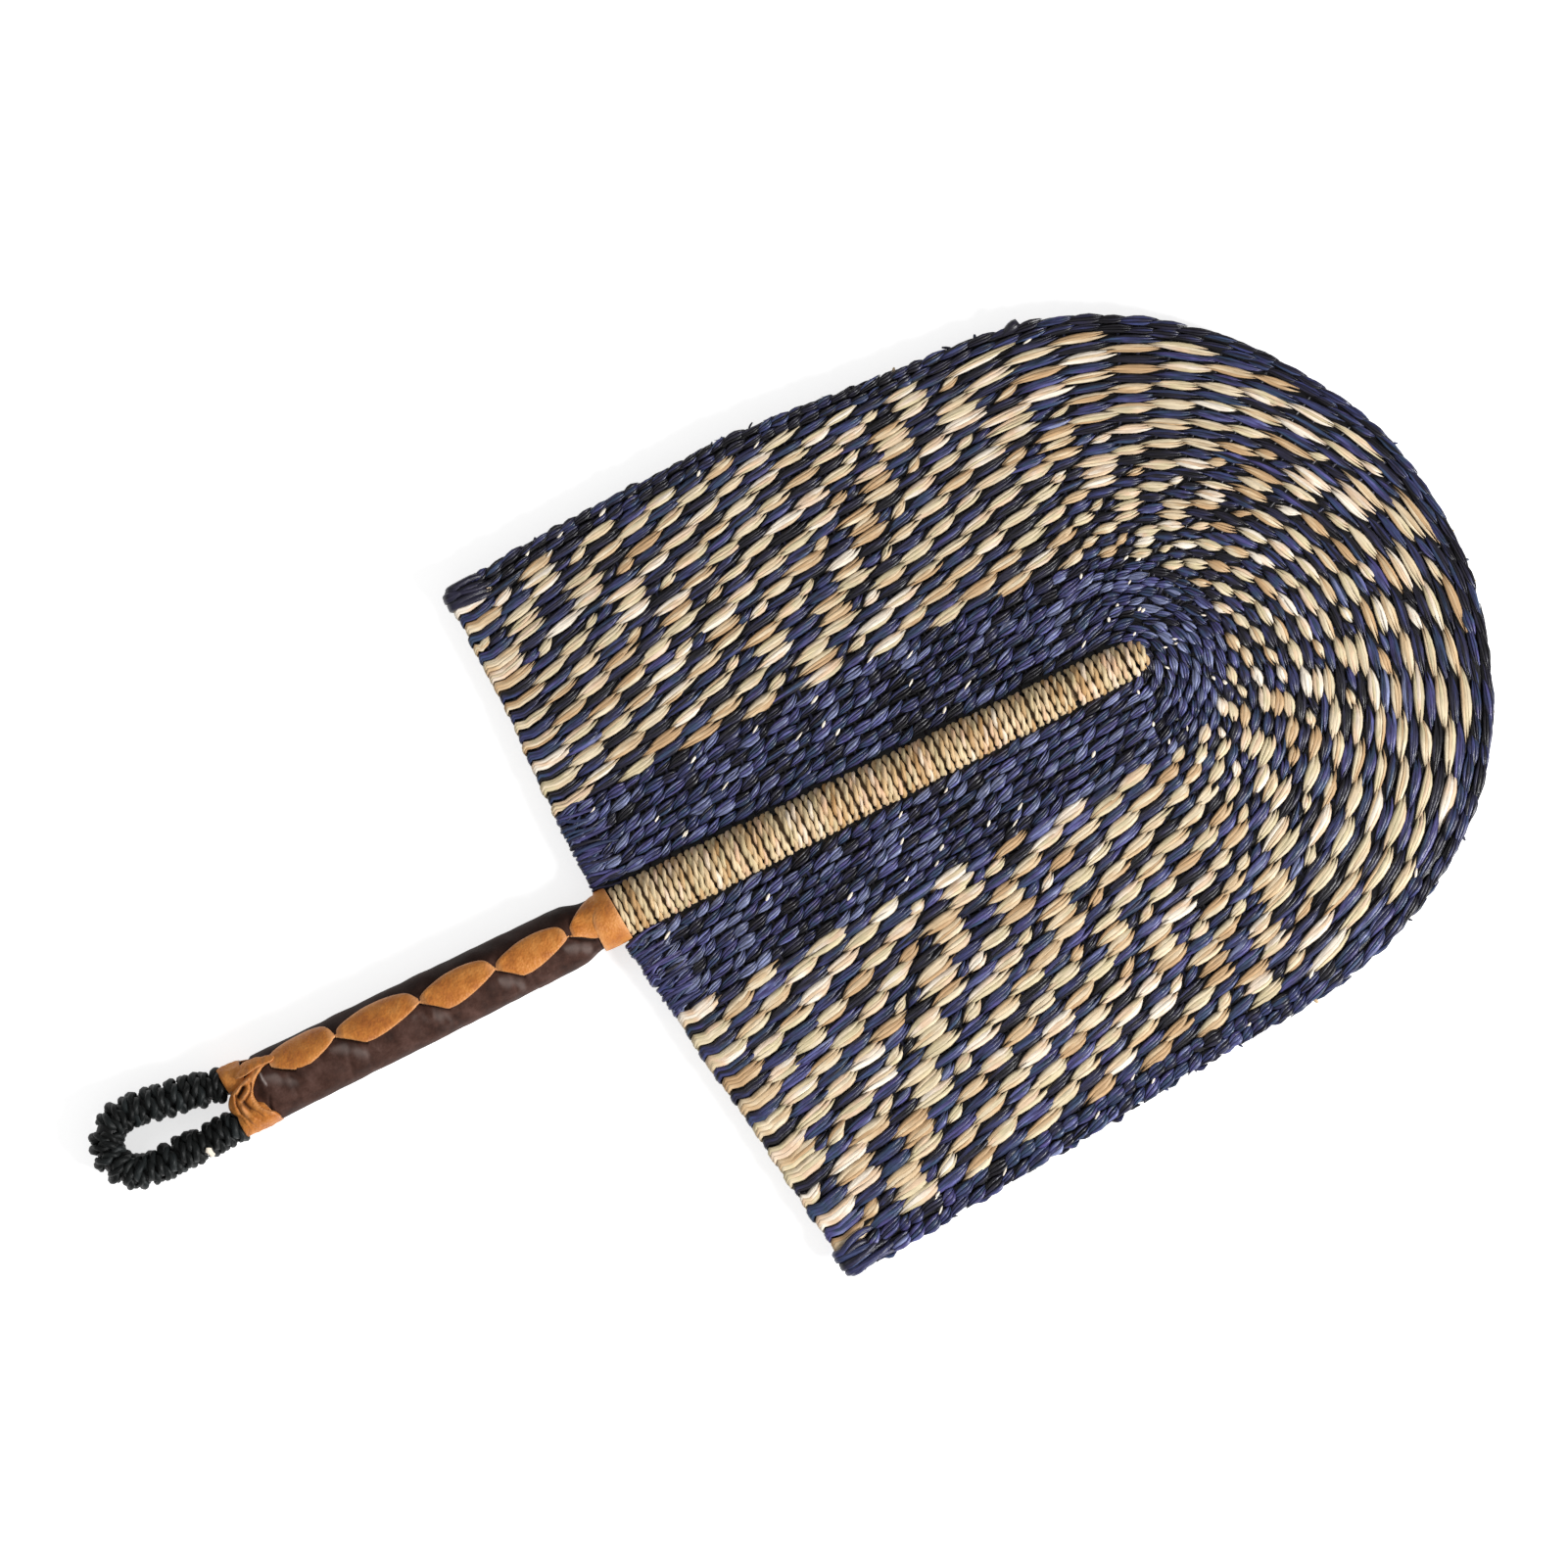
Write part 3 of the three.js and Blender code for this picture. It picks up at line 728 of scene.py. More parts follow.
@dataclass
class Weave:
    """Thirty rows of two-strand twining over pairs of warps, with a zigzag in natural and navy.

    A row's two strands turn round each other like a rope. In front, each stitch runs from its row's inner
    side to its outer side, and the strands take turns. In a figured row one strand is natural and the other
    navy. Where the zigzag's line crosses a row, the weaver doubles the turn in the columns on either side,
    which swaps the colours over. Pairs of rim powers, for the painted shade along a splint's sides, are for
    dyed and undyed straw. A splint's rise and arch are in millimetres, its rolls in radians.
    """

    outline: Outline
    side_columns: int = 16
    dome_columns: int = 21
    figured_from: int = 7
    figured_to: int = 27
    peak_row: int = 26
    zigzag_depth: int = 18
    zigzag_slope: int = 3
    first_peak_column: int = 2
    row_spacing: float = 3.87 * MM
    smallest_stitch: float = 4.4 * MM
    shares: Floats = (-1, -0.88, -0.66, -0.36, 0, 0.36, 0.66, 0.88, 1)
    quarters: Five = (0.0, 0.25, 0.5, 0.75, 1.0)
    natural_half_width: float = 0.47
    fullness: Five = (1.0, 1.02, 0.98, 1.08, 1.16)
    sides: int = 6
    half_thickness_share: float = 0.14
    front_height: float = 1.7 * MM
    lean: float = 0.24
    fanned: float = 0.45
    tip_direction: Three = (0.9, -0.44, 0.0)
    tip_sharpness: float = 2.5
    short_stitch: float = 0.75
    short_stitch_width: float = 0.85
    ragged_reach: float = 0.07
    ragged_shift: float = 0.06
    splint_rise: float = 0.07
    splint_arch: float = 0.3
    splint_sizes: float = 0.12
    splint_hues: float = 0.18
    middle_roll: float = 0.15
    end_roll: float = 0.95
    splint_roll: float = 0.55
    top_shadow: Pair = (0.86, 1.0)
    tuck_shadow: Pair = (0.45, 0.95)
    deepest_shadow: float = 0.95
    rim_shadow: float = 0.56
    rim_powers: tuple[int, int] = (6, 3)
    hue_wave: float = 1.9
    hue_drift: float = 0.12
    core_half_width: float = 0.56
    core_rings: int = 220
    first_core_shift: float = 0.45
    last_core_shift: float = 0.16
    hem_inset: float = 2.2 * MM
    corner_insets: tuple[tuple[int, float], ...] = ((28, 1.0 * MM), (29, 3.0 * MM))
    wrapped_width: float = 0.85
    hem_steps: int = 7
    hem_slide: float = 3.2 * MM
    hem_sway: float = 0.08
    corner_radius: float = 5 * MM
    binding_places: Floats = (0.1, 0.35, 0.6, 0.85)
    binding_bend: Pair = (-0.3, 0.25)
    binding_bow: float = 0.22
    binding_lengths: Pair = (9, 17)
    binding_tones: Pair = (0.05, 0.75)
    binding_rings: int = 8
    binding_slide: float = 0.6 * MM
    tail: float = 3 * MM

    def zigzag_row(self, column: int) -> int:
        """Finds the row that the zigzag's line crosses in a column.

        Args:
            column: The column's number, from the left hem.

        Returns:
            The row's number, from the spine.
        """
        half_wave = self.zigzag_depth // self.zigzag_slope
        folded = abs((column - self.first_peak_column + half_wave) % (2 * half_wave) - half_wave)
        return self.peak_row - self.zigzag_slope * folded

    def kind(self, row: int) -> Twining:
        """The way in which a row is twined."""
        return PLAIN if row < self.figured_from else FIGURED if row <= self.figured_to else BORDER

    def starts_natural(self, row: int) -> bool:
        """Whether the stitch at the left hem is natural."""
        offset = row - self.zigzag_row(0)
        return self.kind(row) is FIGURED and (offset % 2 == 1 or offset == 0)

    def counts(self, row: int) -> tuple[int, int]:
        """Counts the columns of a row.

        A figured row's stitch passes over a pair of warps, a plain row's over one, and the tight inner rows
        have fewer round the dome.

        Args:
            row: The row's number.

        Returns:
            The columns along each side, and those round the dome.
        """
        if self.kind(row) is FIGURED:
            return self.side_columns, self.dome_columns
        radius = self.outline.slot_at_dome + (row + 0.5) * self.row_spacing
        fitting = 2 * int(math.pi * radius / self.smallest_stitch / 2) + 1
        return 2 * self.side_columns, min(2 * self.dome_columns + 1, fitting)

    def boundaries(self, row: int) -> Array:
        """Finds the column coordinates at which the strands cross.

        Args:
            row: The row's number.

        Returns:
            Rising numbers, one more than there are stitches.
        """
        side, dome = self.counts(row)
        columns = range(2 * side + dome)
        edges = [*columns, len(columns)]
        if self.kind(row) is FIGURED:
            crossed = {column for column in columns if self.zigzag_row(column) == row}
            beside = {column + step for column in crossed for step in (-1, 1)}
            edges += [c + 0.5 for c in beside if c in columns and not {c - 1, c + 1} <= crossed]
        return np.array(sorted(edges), dtype=float)

    def station(self, row: int, column: Array) -> Array:
        """Turns column coordinates into stations.

        The hems and the two ends of the dome are fixed, and columns are even between them.

        Args:
            row: The row's number.
            column: Column coordinates, 0 at the left hem.

        Returns:
            The stations.
        """
        outline, (side, dome) = self.outline, self.counts(row)
        inset = self.hem_inset + dict(self.corner_insets).get(row, 0.0)
        places = [inset, outline.hem_to_dome, outline.hem_to_dome + outline.dome_run, outline.run - inset]
        return np.interp(column, np.cumsum([0, side, dome, side]), places)

    def core(self, draft: Draft, row: int) -> None:
        """Adds the dark middle of a row, where both strands and the warps are pressed together.

        It is painted almost wholly in shade, so that it fills the gaps between the stitches with shadow.

        Args:
            draft: The row's mesh.
            row: The row's number.
        """
        side, dome = self.counts(row)
        stations = self.station(row, np.linspace(0, 2 * side + dome, self.core_rings))
        inwards = {0: self.first_core_shift, self.outline.rows - 1: self.last_core_shift}.get(row, 0.0)
        across = np.full(len(stations), (row + 0.5 - inwards) / self.outline.rows)
        wider = self.core_half_width + (inwards if row == 0 else -inwards)
        parts = {
            "path": self.outline.place(stations, across),
            "wide": self.outline.outward(stations, across),
            "thick": UP,
            "width": wider * self.outline.pitch(stations, across),
            "depth": self.kind(row).core_half_thickness,
            "tone": 0.0,
            # Painted shade: the core shows as the shadow between the stitches.
            "tuck": 0.9,
        }
        draft.straw(parts, 8)

    def stitches(self, row: int, which: int, natural: bool, draw: np.random.Generator) -> Stitches:
        """Lays out the stitches of a strand.

        A stitch sways by u(0.6 + 0.4 u^2) from one side of its row to the other. Shades, overlaps and widths
        change slowly along the run. The stitch that is in front at a hem stays there, bends like a hook,
        0.3 u^2 - 0.1, and goes on round the edge to the back.

        Args:
            row: The row's number.
            which: 0 for the strand in front at the left hem, 1 for the other.
            natural: Whether the strand is undyed.
            draw: The random numbers.

        Returns:
            The stitches.
        """
        kind, edges = self.kind(row), self.boundaries(row)
        shift = np.random.default_rng(500 + row).normal(0, kind.jitter, len(edges))
        ends = abs(shift[0]), edges[-1] - abs(shift[-1])
        edges += shift
        edges[[0, -1]] = ends
        count = len(edges) - 1
        order = np.arange(count)[:, None]
        facing = np.where((order + which) % 2 == 0, 1.0, -1.0)
        u = np.array(self.shares)[None, :] + 0.0 * order
        at_hem = ((order == 0) & (u < 0)) | ((order == count - 1) & (u > 0))
        wrapped = at_hem & (facing > 0) & (row < self.outline.rows - 1)
        middle, length = (edges[:-1] + edges[1:])[:, None] / 2, np.diff(edges)[:, None]
        along = middle / edges[-1]
        reach = np.where(at_hem, 0.5, 0.5 + np.interp(along, self.quarters, kind.overlaps))
        uneven = np.array(kind.unevenness)[:, None, None]
        size, lift, sway, depth, bend = 1 + draw.normal(0, 1, (5, count, 1)) * uneven
        width = self.natural_half_width if natural else kind.half_width
        width = width * size * np.where(length < self.short_stitch, self.short_stitch_width, 1.0)
        swing = facing * u * (0.6 + 0.4 * u**2) * sway * kind.sway + (bend - 1) * (1 - u**2)
        hook = np.where(order == 0, 1, -1) * (0.3 * u**2 - 0.1) + self.hem_sway * u
        swing = np.where(wrapped, hook, swing)
        tone = draw.uniform(0, 1, (count, 1))
        tone = tone if natural else tone * np.interp(along, self.quarters, kind.shades)
        phase = u[..., None] + 3.1 * order[..., None]
        places = (u, phase, facing, at_hem, wrapped)
        sizes = (middle, length, reach, width, swing, lift, depth, tone)
        return Stitches(row, which, natural, *places, *sizes)

    def splint(self, laid: Stitches, place: float, uneven: Array) -> dict[str, Array]:
        """Shapes one flat splint of every stitch.

        The stitch's end nearer the fan's tip lies on top, and the other is tucked under its neighbours. The
        half width is (1 - |v|^p)^0.9 of the full one, where v is u leant towards the end on top and p is 1.3
        there and 1.6 at the other end, and the end on top fans out a little. It comes down by |u|^5 of its
        height, the tucked end by 1.5 |u|^2.6, and the flat sections roll over with the stitch's sway.

        Args:
            laid: The strand's stitches.
            place: The splint's place across its stitch.
            uneven: Four random numbers for each stitch: stretch, shift, rise and hue.

        Returns:
            What Draft.straw takes, with a row for each stitch.
        """
        kind, outline, rows = self.kind(laid.row), self.outline, self.outline.rows
        u, facing, wrapped = laid.u, laid.facing, laid.wrapped
        stretch, shift, rise, hue = uneven
        ragged = (self.ragged_reach * stretch * u + self.ragged_shift * shift * np.abs(u)) * kind.loose
        column = laid.middle + (u * laid.reach + ragged * ~laid.at_hem) * laid.length
        stations = self.station(laid.row, column)
        in_row = (laid.row + 0.5) / rows + 0 * u
        pitch = outline.pitch(stations, in_row)
        travel = np.cross(outline.outward(stations, in_row), UP)
        towards = np.clip(self.tip_sharpness * travel @ np.array(self.tip_direction), -1, 1)
        on_top = (1 + np.sign(u) * towards) / 2
        leant = np.abs(u - self.lean * towards * (1 - u**2))
        leaf = np.maximum(1 - leant ** (1.6 - 0.3 * on_top), 0.002) ** 0.9
        leaf = np.where(wrapped, self.wrapped_width, leaf)
        fan = leaf**0.8 + self.fanned * kind.loose * on_top * (1 - leaf**0.8)
        full = np.interp(stations / outline.run, self.quarters, self.fullness) if laid.natural else 1.0
        across = (laid.row + 0.5 + laid.swing + place * laid.width * full * fan) / rows
        outward = outline.outward(stations, across)
        dive = on_top * np.abs(u) ** 5 + (1 - on_top) * 1.5 * np.abs(u) ** 2.6
        height = self.front_height * laid.lift * np.where(wrapped, 1.0, 1 - dive)
        height = facing * (height + (self.splint_rise * rise - self.splint_arch * abs(place)) * MM * leaf)
        roll = np.where(wrapped, 0.0, self.end_roll * u**3 + self.middle_roll * u)
        roll = (roll + self.splint_roll * place * facing)[..., None]
        # Painted shade: the tucked end darkens over its last half, and the end on top at its very tip.
        hidden = (1 - on_top) * fade(np.abs(u), *self.tuck_shadow)
        hidden = on_top * fade(np.abs(u), *self.top_shadow) + hidden
        drift = waves(3 * laid.row + laid.which, laid.phase + place, self.hue_wave) * self.hue_drift
        return {
            "path": outline.place(stations, across) + UP * height[..., None],
            "wide": outward * np.cos(roll) - UP * np.sin(roll),
            "thick": UP * np.cos(roll) + outward * np.sin(roll),
            "width": kind.splint_share * laid.width * full * pitch * (1 + self.splint_sizes * hue) * leaf,
            "depth": self.half_thickness_share * pitch * laid.depth * leaf**0.6,
            "tone": np.clip(laid.tone * 0.94 + self.splint_hues * hue + drift, 0, 1),
            "tuck": hidden * self.deepest_shadow * ~wrapped,
        }

    def strand(self, draft: Draft, row: int, which: int, natural: bool) -> None:
        """Adds one of a row's two strands, stitch by stitch, in front and behind in turn.

        A stitch is a bundle of splints, each a flat tube.

        Args:
            draft: The row's mesh.
            row: The row's number.
            which: 0 for the strand in front at the left hem, 1 for the other.
            natural: Whether the strand is undyed.
        """
        draw = np.random.default_rng(1000 + 2 * row + which)
        laid = self.stitches(row, which, natural, draw)
        # Painted shade along the sides of each splint, deeper on the undyed straw.
        rim = np.abs(np.cos(ring_angles(self.sides))) ** self.rim_powers[natural] * self.rim_shadow
        for place in self.kind(row).splints:
            parts = self.splint(laid, place, draw.normal(0, 1, (4, len(laid.u), 1)))
            for index, wrapped in enumerate(laid.wrapped):
                stitch = {key: value[index] for key, value in parts.items()}
                for at_start in (True, False):
                    if wrapped[0 if at_start else -1]:
                        stitch = self.hem_turn(stitch, row, at_start, self.hem_slide)
                stitch["tuck"] = np.clip(stitch["tuck"][:, None] + rim, 0, 1)
                draft.straw(stitch, self.sides, int(natural))

    def hem_strands(self, draft: Draft, row: int) -> None:
        """Adds the thin strands that bind the ends of a plain row at both hems.

        They lie side by side from the hem inwards, and the outermost ones draw the blade's corner round.

        Args:
            draft: The row's mesh.
            row: The row's number.
        """
        kind, outline, rows = self.kind(row), self.outline, self.outline.rows
        draw = np.random.default_rng(900 + row)
        u = np.linspace(0, 1, self.binding_rings)
        for at_start in (True, False):
            shade = 1.0 if kind is PLAIN else kind.shades[0 if at_start else -1]
            for place in self.binding_places:
                bend = draw.normal(*self.binding_bend) * u
                bend = bend + draw.normal(0, self.binding_bow) * np.sin(math.pi * u)
                across = (row + place + draw.normal(0, 0.07) + bend) / rows
                across = np.minimum(across, 1 - 0.2 / rows)
                edge = outline.reach(np.array(0.0 if at_start else outline.run)) * (1 - across[0])
                corner = self.corner_radius
                inset = self.hem_inset + kind.hem_inset + abs(draw.normal(0, 0.5)) * MM
                inset += corner - math.sqrt(corner**2 - max(corner - edge, 0) ** 2)
                station = inset + u * draw.uniform(*self.binding_lengths) * MM
                station = station if at_start else outline.run - station
                lift = (kind.hem_lift + draw.normal(0, 0.15)) * MM * (1 - 0.75 * u**3)
                size = (kind.hem_size + draw.normal(0, 0.06)) * MM * (1 - 0.6 * u**4)
                parts = {
                    "path": outline.place(station, across) + UP * lift[:, None],
                    "wide": outline.outward(station, across),
                    "thick": np.broadcast_to(UP, (len(u), 3)),
                    "width": size,
                    "depth": size * 0.75,
                    "tone": np.full(len(u), draw.uniform(*self.binding_tones) * shade),
                    # Painted shade where the strand's inner end goes under the rows.
                    "tuck": fade(u, 0.7, 1.0) * 0.9,
                }
                if not at_start:
                    parts = {key: value[::-1] for key, value in parts.items()}
                draft.straw(self.hem_turn(parts, row, at_start, self.binding_slide), self.sides)

    def hem_turn(self, parts: dict[str, Array], row: int, at_start: bool, slide: float) -> dict[str, Array]:
        """Leads a strand's end round the hem to the back.

        The added centres lie on a half circle that stands on the hem, and slide sideways as they go, so that
        the flat straw leaves its row at a slant, as a wrapped end does.

        Args:
            parts: The strand's centres, directions, sizes and marks.
            row: The row's number.
            at_start: Whether the left hem's end is meant, or the right hem's.
            slide: How far the end slides along the hem.

        Returns:
            The same, with the half circle's rings added.
        """
        outline, (end, beyond) = self.outline, (0, 1) if at_start else (-1, -2)
        place, neighbour = parts["path"][end], parts["path"][beyond]
        hem = np.array(0.0 if at_start else outline.run)
        aside = outline.outward(hem, np.array((row + 0.5) / outline.rows))
        aside = aside * (-1 if at_start or row > self.figured_to else 1)
        travel = (place - neighbour) * [1, 1, 0]
        travel = unit(travel - aside * (travel @ aside))
        middle = place * [1, 1, 0] + UP * outline.axis_z
        radius = place[2] - outline.axis_z
        angles = np.linspace(0, math.pi, self.hem_steps + 1)[1:]
        outward = np.sin(angles)[:, None] * travel + np.cos(angles)[:, None] * UP
        centres = middle + outward * radius + np.outer(angles / math.pi, aside) * slide
        tail = centres[-1] - travel * self.tail + aside * slide * 0.2 + UP * radius * 0.3
        count = len(centres)
        added = {
            "path": np.vstack([centres, tail]),
            "wide": np.broadcast_to(parts["wide"][end], (count + 1, 3)),
            "thick": np.vstack([outward, outward[-1:]]),
            "width": parts["width"][end] * np.append(np.linspace(1, 0.95, count), 0.5),
            "depth": np.full(count + 1, parts["depth"][end]),
            "tone": np.full(count + 1, parts["tone"][end]),
            # Painted shade on the tail that goes in behind the hem.
            "tuck": np.append(np.zeros(count), 0.6),
        }
        if at_start:
            return {key: np.concatenate([added[key][::-1], parts[key]]) for key in parts}
        return {key: np.concatenate([parts[key], added[key]]) for key in parts}

    def build(self, straws: list[Material]) -> None:
        """Builds and places all the rows.

        Args:
            straws: The dyed straw and the undyed straw.
        """
        for row in range(self.outline.rows):
            draft, figured, first = Draft(), self.kind(row) is FIGURED, self.starts_natural(row)
            self.core(draft, row)
            self.strand(draft, row, 0, first)
            self.strand(draft, row, 1, figured and not first)
            if not figured:
                self.hem_strands(draft, row)
            slot = Slot.TWO_TONE if figured else Slot.NAVY
            draft.place(f"twined_row_{row + 1:02d}", straws, slot, f"weft_row_{row + 1:02d}")


@dataclass
class Warps:
    """The bundle of straws in the spine and grip, and the pairs of warps that leave it for the edge.

    The flecks are bare straw between the rows, and the strays are frayed ends. Their heights and sizes, and
    how far the strays reach and slant, are in millimetres.
    """

    outline: Outline
    weave: Weave
    radius: float = 0.75 * MM
    pair: Pair = (0.31, 0.69)
    side_start: float = -0.02
    dome_start: float = 0.12
    end: float = 0.985
    rings: int = 14
    bundle_start: float = -106 * MM
    bundle_radii: Floats = (9.2 * MM, 7.2 * MM, 4.4 * MM, 1 * MM)
    nose: float = 6 * MM
    fleck_count: int = 70
    fleck_rows: tuple[int, ...] = (1, 2, 3, 4, 5, 6, 7, 28, 29)
    fleck_reach: Pair = (0.08, 0.15)
    fleck_height: Pair = (1.5, 2.1)
    fleck_size: Pair = (0.3, 0.6)
    fleck_shape: Floats = (0.4, 1, 1, 0.4)
    stray_count: int = 18
    stray_reach: Pair = (0.3, 1.3)
    stray_slant: float = 1.5
    stray_size: Pair = (0.4, 0.8)
    stray_shape: Floats = (1, 1, 0.9, 0.8, 0.5)
    stray_pale: float = 0.3
    knot_station: float = 229 * MM
    knot_length: float = 7 * MM
    knot_sizes: Floats = (0.3, 1.1, 1.6, 1.9, 1.9, 1.4)

    def splinter(self, draft: Draft, station: Array, across: Array, height: float, **look: Array) -> None:
        """Adds a short bare straw that lies over the blade's middle surface.

        Args:
            draft: The mesh that takes it.
            station: Places along the blade.
            across: 0 at the spine and 1 at the edge.
            height: How far it lies above the middle surface.
            **look: "size", its half width, and "flat", its thickness as a share of that, with its finish's
            number, its sides, its tone mark and its mark of painted shade.
        """
        path = self.outline.place(station, across) + UP * height
        size, flat, finish, sides = (look.pop(key) for key in ("size", "flat", "finish", "sides"))
        wide = np.cross(UP, unit(np.gradient(path, axis=0)))
        parts = {"path": path, "wide": wide, "thick": UP, "width": size, "depth": size * flat, **look}
        draft.straw(parts, sides, finish)

    def warps(self, draft: Draft, draw: np.random.Generator) -> None:
        """Adds the straight warps, in pairs that a figured row's stitches pass over.

        Args:
            draft: The mesh that takes them.
            draw: The random numbers.
        """
        side, last = self.weave.side_columns, self.weave.figured_to
        columns = 2 * side + self.weave.dome_columns
        for column in (column + share for column in range(columns) for share in self.pair):
            in_dome = side < column < columns - side
            across = np.linspace(self.dome_start if in_dome else self.side_start, self.end, self.rings)
            station = self.weave.station(last, column)
            look = {"size": self.radius, "flat": 0.8, "finish": 0, "sides": 6}
            # The warps are partly painted in shade, as they lie under the rows.
            self.splinter(draft, station, across, 0.0, tone=draw.uniform(0, 0.3), tuck=0.4, **look)

    def loose_ends(self, draft: Draft, draw: np.random.Generator) -> None:
        """Adds the flecks of bare straw between the rows, the frayed ends at the edge and one cut end.

        Args:
            draft: The mesh that takes them.
            draw: The random numbers.
        """
        outline, last = self.outline, self.weave.figured_to
        columns = 2 * self.weave.side_columns + self.weave.dome_columns
        shape = {"flat": 0.6, "sides": 6}
        for _ in range(self.fleck_count):
            row = int(draw.choice(self.fleck_rows))
            column = draw.integers(0, 2 * columns) / 2 + draw.normal(0, 0.08)
            reach = draw.uniform(*self.fleck_reach)
            station = self.weave.station(last, column + np.linspace(-reach, reach, 4))
            across = (row + 0.2 * np.linspace(-1, 1, 4)) / outline.rows
            height = draw.uniform(*self.fleck_height) * MM
            size = draw.uniform(*self.fleck_size) * MM * np.array(self.fleck_shape)
            look = {"size": size, "finish": 1, "tone": 1.0, "tuck": 0.0}
            self.splinter(draft, station, across, height, **look, **shape)
        for station in draw.uniform(0.03, 0.97, self.stray_count) * outline.run:
            reach = draw.uniform(*self.stray_reach) * MM / outline.reach(np.array(station))
            across = np.linspace(self.end, 1.0 + reach, 5)
            slant = draw.normal(0, self.stray_slant) * MM * np.linspace(0, 1, 5) ** 2
            height = draw.uniform(-1, 1) * MM
            size = draw.uniform(*self.stray_size) * MM * np.array(self.stray_shape)
            finish = int(draw.uniform() < self.stray_pale)
            look = {"size": size, "finish": finish, "tone": draw.uniform(0.1, 0.5)}
            self.splinter(draft, station + slant, across, height, tuck=0.1, **look, **shape)
        station = self.knot_station + np.linspace(-self.knot_length, 0, 6)
        look = {"size": np.array(self.knot_sizes) * MM, "flat": 0.8, "finish": 0, "sides": 8}
        self.splinter(draft, station, np.linspace(0.972, 1.006, 6), 1.4 * MM, tone=0.05, tuck=0.0, **look)

    def build(self, straws: list[Material]) -> None:
        """Builds the warps, the loose ends and the bundle, a round bar of four radii.

        Args:
            straws: The dyed straw of the warps and the undyed straw of the bundle.
        """
        draft, draw = Draft(), np.random.default_rng(77)
        self.warps(draft, draw)
        self.loose_ends(draft, draw)
        dome = self.outline.hem_to_dome
        ends = np.array([self.bundle_start, 0, dome, dome + self.nose])
        along = np.linspace(ends[0], ends[-1], 60)
        path = np.outer(along, [1, 0, 0]) + self.outline.origin
        size = np.interp(along, ends, self.bundle_radii)
        parts = {"path": path, "wide": np.array([0.0, 1.0, 0.0]), "thick": UP, "width": size, "depth": size}
        # The bundle is painted mostly in shade: it shows only in the gaps between the binding's turns.
        draft.straw({**parts, "tone": 0.1, "tuck": 0.7}, 24, 1)
        draft.place("warps_and_bundle", straws, Slot.NATURAL, "warp_bundle")


@dataclass
class Binding:
    """Two ply straw wound round a core: two plies that twist round each other along one helix."""

    pitch: float
    ply_radius: float
    ply_offset: float
    ply_lay: float
    lean: float = 0.0
    turn_jitter: float = 0.1
    swell: float = 0.1 * MM
    steps: int = 36
    sides: int = 7
    seed: int = 31

    def wind(self, draft: Draft, length: float, core_at: Callable) -> None:
        """Adds the winding's two plies.

        The straw's middle runs along a helix whose turns are a little uneven. A ply's middle lies beside it
        by offset times the lay angle's cosine, and outside it by 0.7 times offset times the angle's sine.

        Args:
            draft: The mesh that takes them.
            length: How far the winding runs along its core.
            core_at: A function from run lengths, angles and swells to the straw's middles and outward
                directions.
        """
        turns = int(length / self.pitch)
        phase = np.arange(turns * self.steps + 1) / self.steps
        draw = np.random.default_rng(self.seed)
        whole, halves = np.arange(turns + 2), np.arange(0, turns + 2, 0.5)
        uneven = cubic_through(whole, draw.normal(0, self.turn_jitter, len(whole)), phase)
        quiver = cubic_through(halves, draw.normal(0, 0.5, len(halves)), phase)
        swell = cubic_through(halves, draw.normal(0, self.swell, len(halves)), phase)
        angle = phase * TURN
        run = length * phase / turns + (uneven + 0.2 * quiver) * self.pitch + self.lean * np.cos(angle)
        middle, out = core_at(np.clip(run, 0, length), angle, swell)
        travel = unit(np.gradient(middle, axis=0))
        beside = unit(np.cross(out, travel))
        lay = walked(middle) / self.ply_lay * TURN
        lay = lay + cubic_through(whole, draw.normal(0, 0.8, len(whole)), phase)
        shades = np.arange(0, turns + 2, 0.7)
        # Painted shade on each ply's inner side, and more where the ply turns under the other.
        inner = np.clip(-np.sin(ring_angles(self.sides)), 0, 1) * 0.8
        for ply in range(2):
            twist = lay + ply * math.pi
            offset = beside * np.cos(twist)[:, None] + out * (0.7 * np.sin(twist))[:, None]
            size = self.ply_radius * (1 + cubic_through(whole, draw.normal(0, 0.12, len(whole)), phase))
            tone = np.clip(cubic_through(shades, draw.uniform(0, 1, len(shades)), phase), 0, 1)
            grid = sweep(middle + offset * self.ply_offset, beside, out, size, size * 0.9, self.sides)
            tuck = np.clip(np.clip(-np.sin(twist), 0, 1)[:, None] * 0.25 + inner, 0, 0.95)
            draft.tube(grid[:, ::-1], 0, tone=tone, tuck=tuck[:, ::-1])


@dataclass
class SpineBinding:
    """Natural straw, wound about eighty times round the spine from the collar to the dome."""

    outline: Outline
    binding: Binding
    start: float = 6.4 * MM
    end: float = 210.5 * MM
    radius_at_start: float = 8.6 * MM
    radius_at_dome: float = 6.1 * MM
    nose: float = 10 * MM

    def core_at(self, run: Array, angle: Array, swell: Array) -> tuple[Array, Array]:
        """Follows a straight taper that ends in a rounded nose.

        Args:
            run: Lengths along the winding.
            angle: Angles round the spine.
            swell: How far the straw stands off there.

        Returns:
            The straw's middles and its outward directions.
        """
        x = self.start + run
        taper = np.interp(x, [0, self.outline.hem_to_dome], [self.radius_at_start, self.radius_at_dome])
        into_nose = np.clip((x - self.end + self.nose) / self.nose, 0, 1)
        radius = taper * np.sqrt(1 - 0.9 * into_nose**2.2) + swell
        out = np.stack([0 * angle, np.cos(angle), np.sin(angle)], -1)
        return np.outer(x, [1, 0, 0]) + out * radius[:, None] + self.outline.origin, out

    def build(self, straw: Material) -> None:
        """Builds the winding.

        Args:
            straw: The undyed two ply straw.
        """
        draft = Draft()
        self.binding.wind(draft, self.end - self.start, self.core_at)
        draft.place("spine_binding", [straw], Slot.NATURAL, "spine_winding")


